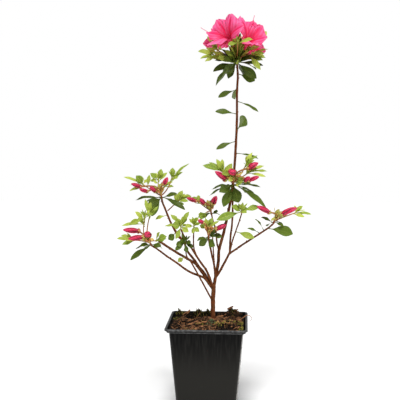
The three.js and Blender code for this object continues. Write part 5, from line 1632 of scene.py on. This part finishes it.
# Big flakes and chips that stand out in the photo: x, y, length, width, turn, tilt and tint
FLAKES = [
    (-34, 44, 13, 5, 35, 25, 0.95), (-30, 41, 9, 4, 60, 30, 0.75), (-14, -8, 12, 6, 10, 8, 0.9),
    (-4, -10, 9, 5, -20, 6, 0.95), (-22, -9, 9, 5, 15, 8, 0.8), (30, 43, 10, 6, 15, 25, 0.45),
    (38, 42, 9, 6, -25, 30, 0.6), (25, 40, 9, 4, 40, 20, 0.5), (16, 20, 10, 4, -10, 12, 0.7),
    (22, 26, 9, 4, 20, 12, 0.65), (44, 30, 8, 5, 70, 30, 0.4), (-8, 38, 8, 5, -40, 25, 0.3),
]
STRAY_ROOT = [(41, 6, 117), (47, 9, 121), (54, 12, 125), (59, 15, 123), (61, 17, 119), (58.5, 18, 115.5)]
ROOT_STEPS = 30
ROOT_RADII = (0.55, 0.3)


def soil_height(x, y):
    lumps = (0.9 * np.sin(0.21 * x + 1) * np.cos(0.17 * y) + 0.7 * np.sin(0.43 * x - 0.31 * y + 2)
             + 0.5 * np.sin(0.5 * y + 0.2 * x))
    away = (x - TRUNK_AT[0]) ** 2 + (y - TRUNK_AT[1]) ** 2
    return SOIL_LEVEL + lumps + SOIL_MOUND * np.exp(-away / SOIL_MOUND_SPREAD)


def soil_width(z):
    """How wide the soil is at a height inside the pot's body."""
    return body_width(z) - 2 * WALL - 2 * GAP - SOIL_ROOM


def soil_ring(width, z):
    return square_ring(width, z, SOIL_CORNER_RADIUS, SOIL_CORNER_STEPS, SOIL_SIDE_STEPS)


class Ground:
    """The soil's lumpy top."""

    def __init__(self):
        draw = make_draw(GROUND_SEED)
        bumps = [list(heap) for heap in HEAPS]
        for _ in range(LUMPS):
            bumps.append([draw(-SOIL_HALF, SOIL_HALF), draw(-SOIL_HALF, SOIL_HALF),
                          draw(*LUMP_RADIUS), draw(*LUMP_HEIGHT)])
        self.bumps = np.array(bumps)

    def height(self, x, y):
        away = (self.bumps[:, 0] - x) ** 2 + (self.bumps[:, 1] - y) ** 2
        return float(soil_height(x, y) + (self.bumps[:, 3] * np.exp(-away / self.bumps[:, 2] ** 2)).sum())

    def place(self, x, y, lift):
        return vec((x, y, self.height(x, y) + lift))


def shade_at(x, y, tint):
    """A tint made lighter or darker by the shades around it."""
    for x0, y0, radius, change in SHADES:
        tint += change * math.exp(-((x - x0) ** 2 + (y - y0) ** 2) / radius ** 2)
    return clamped(tint)


def add_soil_body(form, ground, draw):
    step = SOIL_SHOULDER - SOIL_SHOULDER_DROP
    floor = FLOOR_LEVEL + GAP
    outline = soil_ring(SOIL_SHOULDER_WIDTH, 0)
    rows = [soil_ring(soil_width(floor) - 2, floor), soil_ring(soil_width(step), step)]
    tints = [[0.3] * len(outline)] * 2
    for i in range(SOIL_RINGS):
        share = (1 - i / SOIL_RINGS) ** 0.9
        lowest = SOIL_SHOULDER if i == 0 else SOIL_SHOULDER - HOLLOW_DEPTH
        rows.append([vec((p[0] * share, p[1] * share, max(lowest, ground.height(p[0] * share, p[1] * share))))
                     for p in outline])
        # Painted shade: the lower the top lies, the darker its tint
        tints.append([shade_at(p[0], p[1], draw(0, 1) * (p[2] - SOIL_LEVEL + HOLLOW_DEPTH) / HOLLOW_SHADE_RISE)
                      for p in rows[-1]])
    start = form.sheet(rows, tints, 0, closed=True)
    form.cap(start, len(outline), 0)
    form.cap(start + (len(rows) - 1) * len(outline), len(outline), 0, back=True)


def add_chip(form, middle, length, width, turn, tilt, tint, draw):
    """A flat broken piece of bark."""
    yaw, lean = math.radians(turn), math.radians(tilt)
    ahead = vec((math.cos(yaw) * math.cos(lean), math.sin(yaw) * math.cos(lean), math.sin(lean)))
    side = unit(np.cross(vec((0, 0, 1)), ahead))
    side = unit(spun(side, ahead, draw(-0.5, 0.5)))
    up = np.cross(ahead, side)
    thick = draw(0.25, 0.5) * min(width, 3)
    rows = []
    for s, share in CHIP_ROWS:
        place = middle + ahead * length * s
        row = []
        for k in range(CHIP_SIDES):
            angle = FULL_TURN * k / CHIP_SIDES
            row.append(place + side * math.cos(angle) * width / 2 * share * draw(0.7, 1.15)
                       + up * math.sin(angle) * thick * share * draw(0.6, 1.2) + ahead * draw(-0.4, 0.4))
        rows.append(row)
    start = form.sheet(rows, tint, 1, closed=True)
    form.cap(start, CHIP_SIDES, 1, back=True)
    form.cap(start + (len(rows) - 1) * CHIP_SIDES, CHIP_SIDES, 1)


def add_chips(form, ground, draw):
    for x, y, length, width, turn, tilt, tint in FLAKES:
        add_chip(form, ground.place(x, y, 1.2), length, width, turn, tilt, tint, draw)
    for _ in range(CHIPS):
        # More short ones than long ones
        length = draw(CHIP_LENGTH[0] ** 0.5, CHIP_LENGTH[1] ** 0.5) ** 2
        reach = SOIL_HALF - length / 2
        x, y = draw(-reach, reach), draw(-reach, reach)
        tint = shade_at(x, y, draw(0, 1) ** 3.4) * draw(0.3, 1)
        width = length * draw(*CHIP_BREADTH)
        turn, tilt = draw(0, 180), draw(*CHIP_TILT)
        add_chip(form, ground.place(x, y, 0.35), length, width, turn, tilt, tint, draw)


def add_fibres(form, ground, draw):
    for _ in range(FIBRES):
        length = draw(*FIBRE_LENGTH)
        reach = SOIL_HALF - length / 2 - 1
        x, y, turn = draw(-reach, reach), draw(-reach, reach), draw(0, FULL_TURN)
        ahead = vec((math.cos(turn), math.sin(turn), 0))
        side = vec((-ahead[1], ahead[0], 0))
        bow = draw(-2.5, 2.5)
        course = []
        for k in range(9):
            s = k / 8 - 0.5
            place = ahead * length * s + side * bow * (1 - 4 * s * s)
            course.append(ground.place(x + place[0], y + place[1], 0.5 + draw(0, 0.7)))
        form.tube(course, [draw(*FIBRE_RADIUS)] * 9, 5, draw(0.2, 1), 1)


def add_moss(form, ground, draw):
    for _ in range(MOSS_SPRIGS):
        x0, y0, radius, shade, tall = MOSS_PATCHES[int(draw(0, len(MOSS_PATCHES) - 0.01))]
        angle, away = draw(0, FULL_TURN), MOSS_SPREAD * radius * draw(0, 1) ** 0.8
        x = min(SOIL_HALF, max(-SOIL_HALF, x0 + away * math.cos(angle)))
        y = min(SOIL_HALF, max(-SOIL_HALF, y0 + away * math.sin(angle)))
        lean = vec((draw(*SPRIG_LEAN), draw(*SPRIG_LEAN), 1))
        foot = ground.place(x, y, -0.3)
        tip = foot + unit(lean) * tall * draw(*SPRIG_TALL)
        middle = along(foot, tip, 0.55) + vec((draw(-0.4, 0.4), draw(-0.4, 0.4), 0))
        tint = clamped(shade + draw(-0.6, 0.2))
        if shade == 0:
            tint = draw(0, 1)
        form.tube([foot, middle, tip], SPRIG_RADII, 4, tint, 2 if shade else 3)


def make_soil(looks):
    ground = Ground()
    draw = make_draw(SOIL_SEED)
    form = Form()
    for add in (add_soil_body, add_chips, add_fibres, add_moss):
        add(form, ground, draw)
    course = branch_course(STRAY_ROOT, ROOT_STEPS)
    form.tube(course, tapered(*ROOT_RADII, ROOT_STEPS), 8, 0.75, 1)
    form.piece("soil_fine", [looks.soil, looks.chip, looks.moss, looks.lichen], "soil", "soil")


# The stage, the lights and the camera, in metres

SKY_LIGHT = 0.35
FLOOR_SIZE = 7
FLOOR_AT = (0, 0, -0.0002)
SUN_SPREAD = 24
SUN_TOWARDS = (0.04, 0.46, -0.88)
SUN_POWER = 3.0
# Soft round lights: name, place, what they point at, size and power
LAMPS = [
    ("fill_light", (1.3, -1.5, 0.7), (0, 0, 0.3), 1.2, 8),
    ("edge_light", (1.0, 0.25, 0.25), (0.05, 0, 0.08), 0.5, 5),
]


def make_stage():
    bpy.ops.mesh.primitive_plane_add(size=FLOOR_SIZE, location=FLOOR_AT)
    floor = bpy.context.object
    floor.name = "pale_floor"
    paint = Paint("pale_floor", 0.8, 0.1)
    floor.data.materials.append(paint.finish(paint.mix(paint.noise(3, 2), (243, 243, 243), (250, 250, 250))))
    world = bpy.data.worlds.new("studio")
    world.use_nodes = True
    tree = world.node_tree
    sky = tree.nodes["Background"]
    sky.inputs["Color"].default_value = (1.0, 1.0, 1.0, 1.0)
    # The eye sees a white backdrop, and the plant is lit by a dimmer one
    seen = tree.nodes.new("ShaderNodeLightPath")
    strength = tree.nodes.new("ShaderNodeMapRange")
    strength.inputs["To Min"].default_value = SKY_LIGHT
    strength.inputs["To Max"].default_value = 1.0
    tree.links.new(seen.outputs["Is Camera Ray"], strength.inputs["Value"])
    tree.links.new(strength.outputs["Result"], sky.inputs["Strength"])
    bpy.context.scene.world = world
    bpy.context.scene.view_settings.view_transform = "Standard"


def add_sun():
    """A large soft light from far away, so that the whole floor is lit alike."""
    light = bpy.data.lights.new("key_light", "SUN")
    light.angle = math.radians(SUN_SPREAD)
    light.energy = SUN_POWER
    lamp = new_object("key_light", light)
    lamp.rotation_euler = Vector(SUN_TOWARDS).to_track_quat("-Z", "Y").to_euler()


def add_lamp(name, at, aim, size, power):
    light = bpy.data.lights.new(name, "AREA")
    light.shape = "DISK"
    light.size = size
    light.energy = power
    lamp = new_object(name, light)
    lamp.location = at
    lamp.rotation_euler = (Vector(at) - Vector(aim)).to_track_quat("Z", "Y").to_euler()


def make_camera():
    view = bpy.data.cameras.new("photo_view")
    view.lens = CAMERA_LENS
    view.sensor_width = SENSOR_WIDTH
    camera = new_object("photo_view", view)
    camera.location = CAMERA_AT
    camera.rotation_euler = (math.radians(90 - CAMERA_DOWN_TILT), 0, math.radians(CAMERA_LEFT_TURN))
    bpy.context.scene.camera = camera


def make_plant(looks):
    """Each part in the order in which the solids found their places."""
    grow_wood()
    make_wood(looks)
    for index, bloom in enumerate(BLOOMS):
        node = f"bloom_{index + 1}"
        grow_bloom(bloom, node)
        make_bloom(looks, index, bloom, node)
    for tip in TIPS:
        if tip["buds"]:
            grow_buds(tip)
            make_buds(looks, tip)
    for node, at, axis, end, old, leaves in SIDE_SHOOTS:
        make_leaves(looks, node, grow_side_shoot(node, at, axis, end, leaves), old)
    for tip in TIPS:
        node = f"{tip['name']}_old_leaves"
        make_leaves(looks, node, grow_old_leaves(tip, node), True)
    for tip in TIPS:
        node = f"{tip['name']}_young_shoots"
        make_leaves(looks, node, grow_young_shoots(tip, node), False, None if tip["buds"] else tip)


make_camera()
make_stage()
add_sun()
for lamp_facts in LAMPS:
    add_lamp(*lamp_facts)
all_looks = Look()
make_pot(all_looks)
make_soil(all_looks)
make_plant(all_looks)
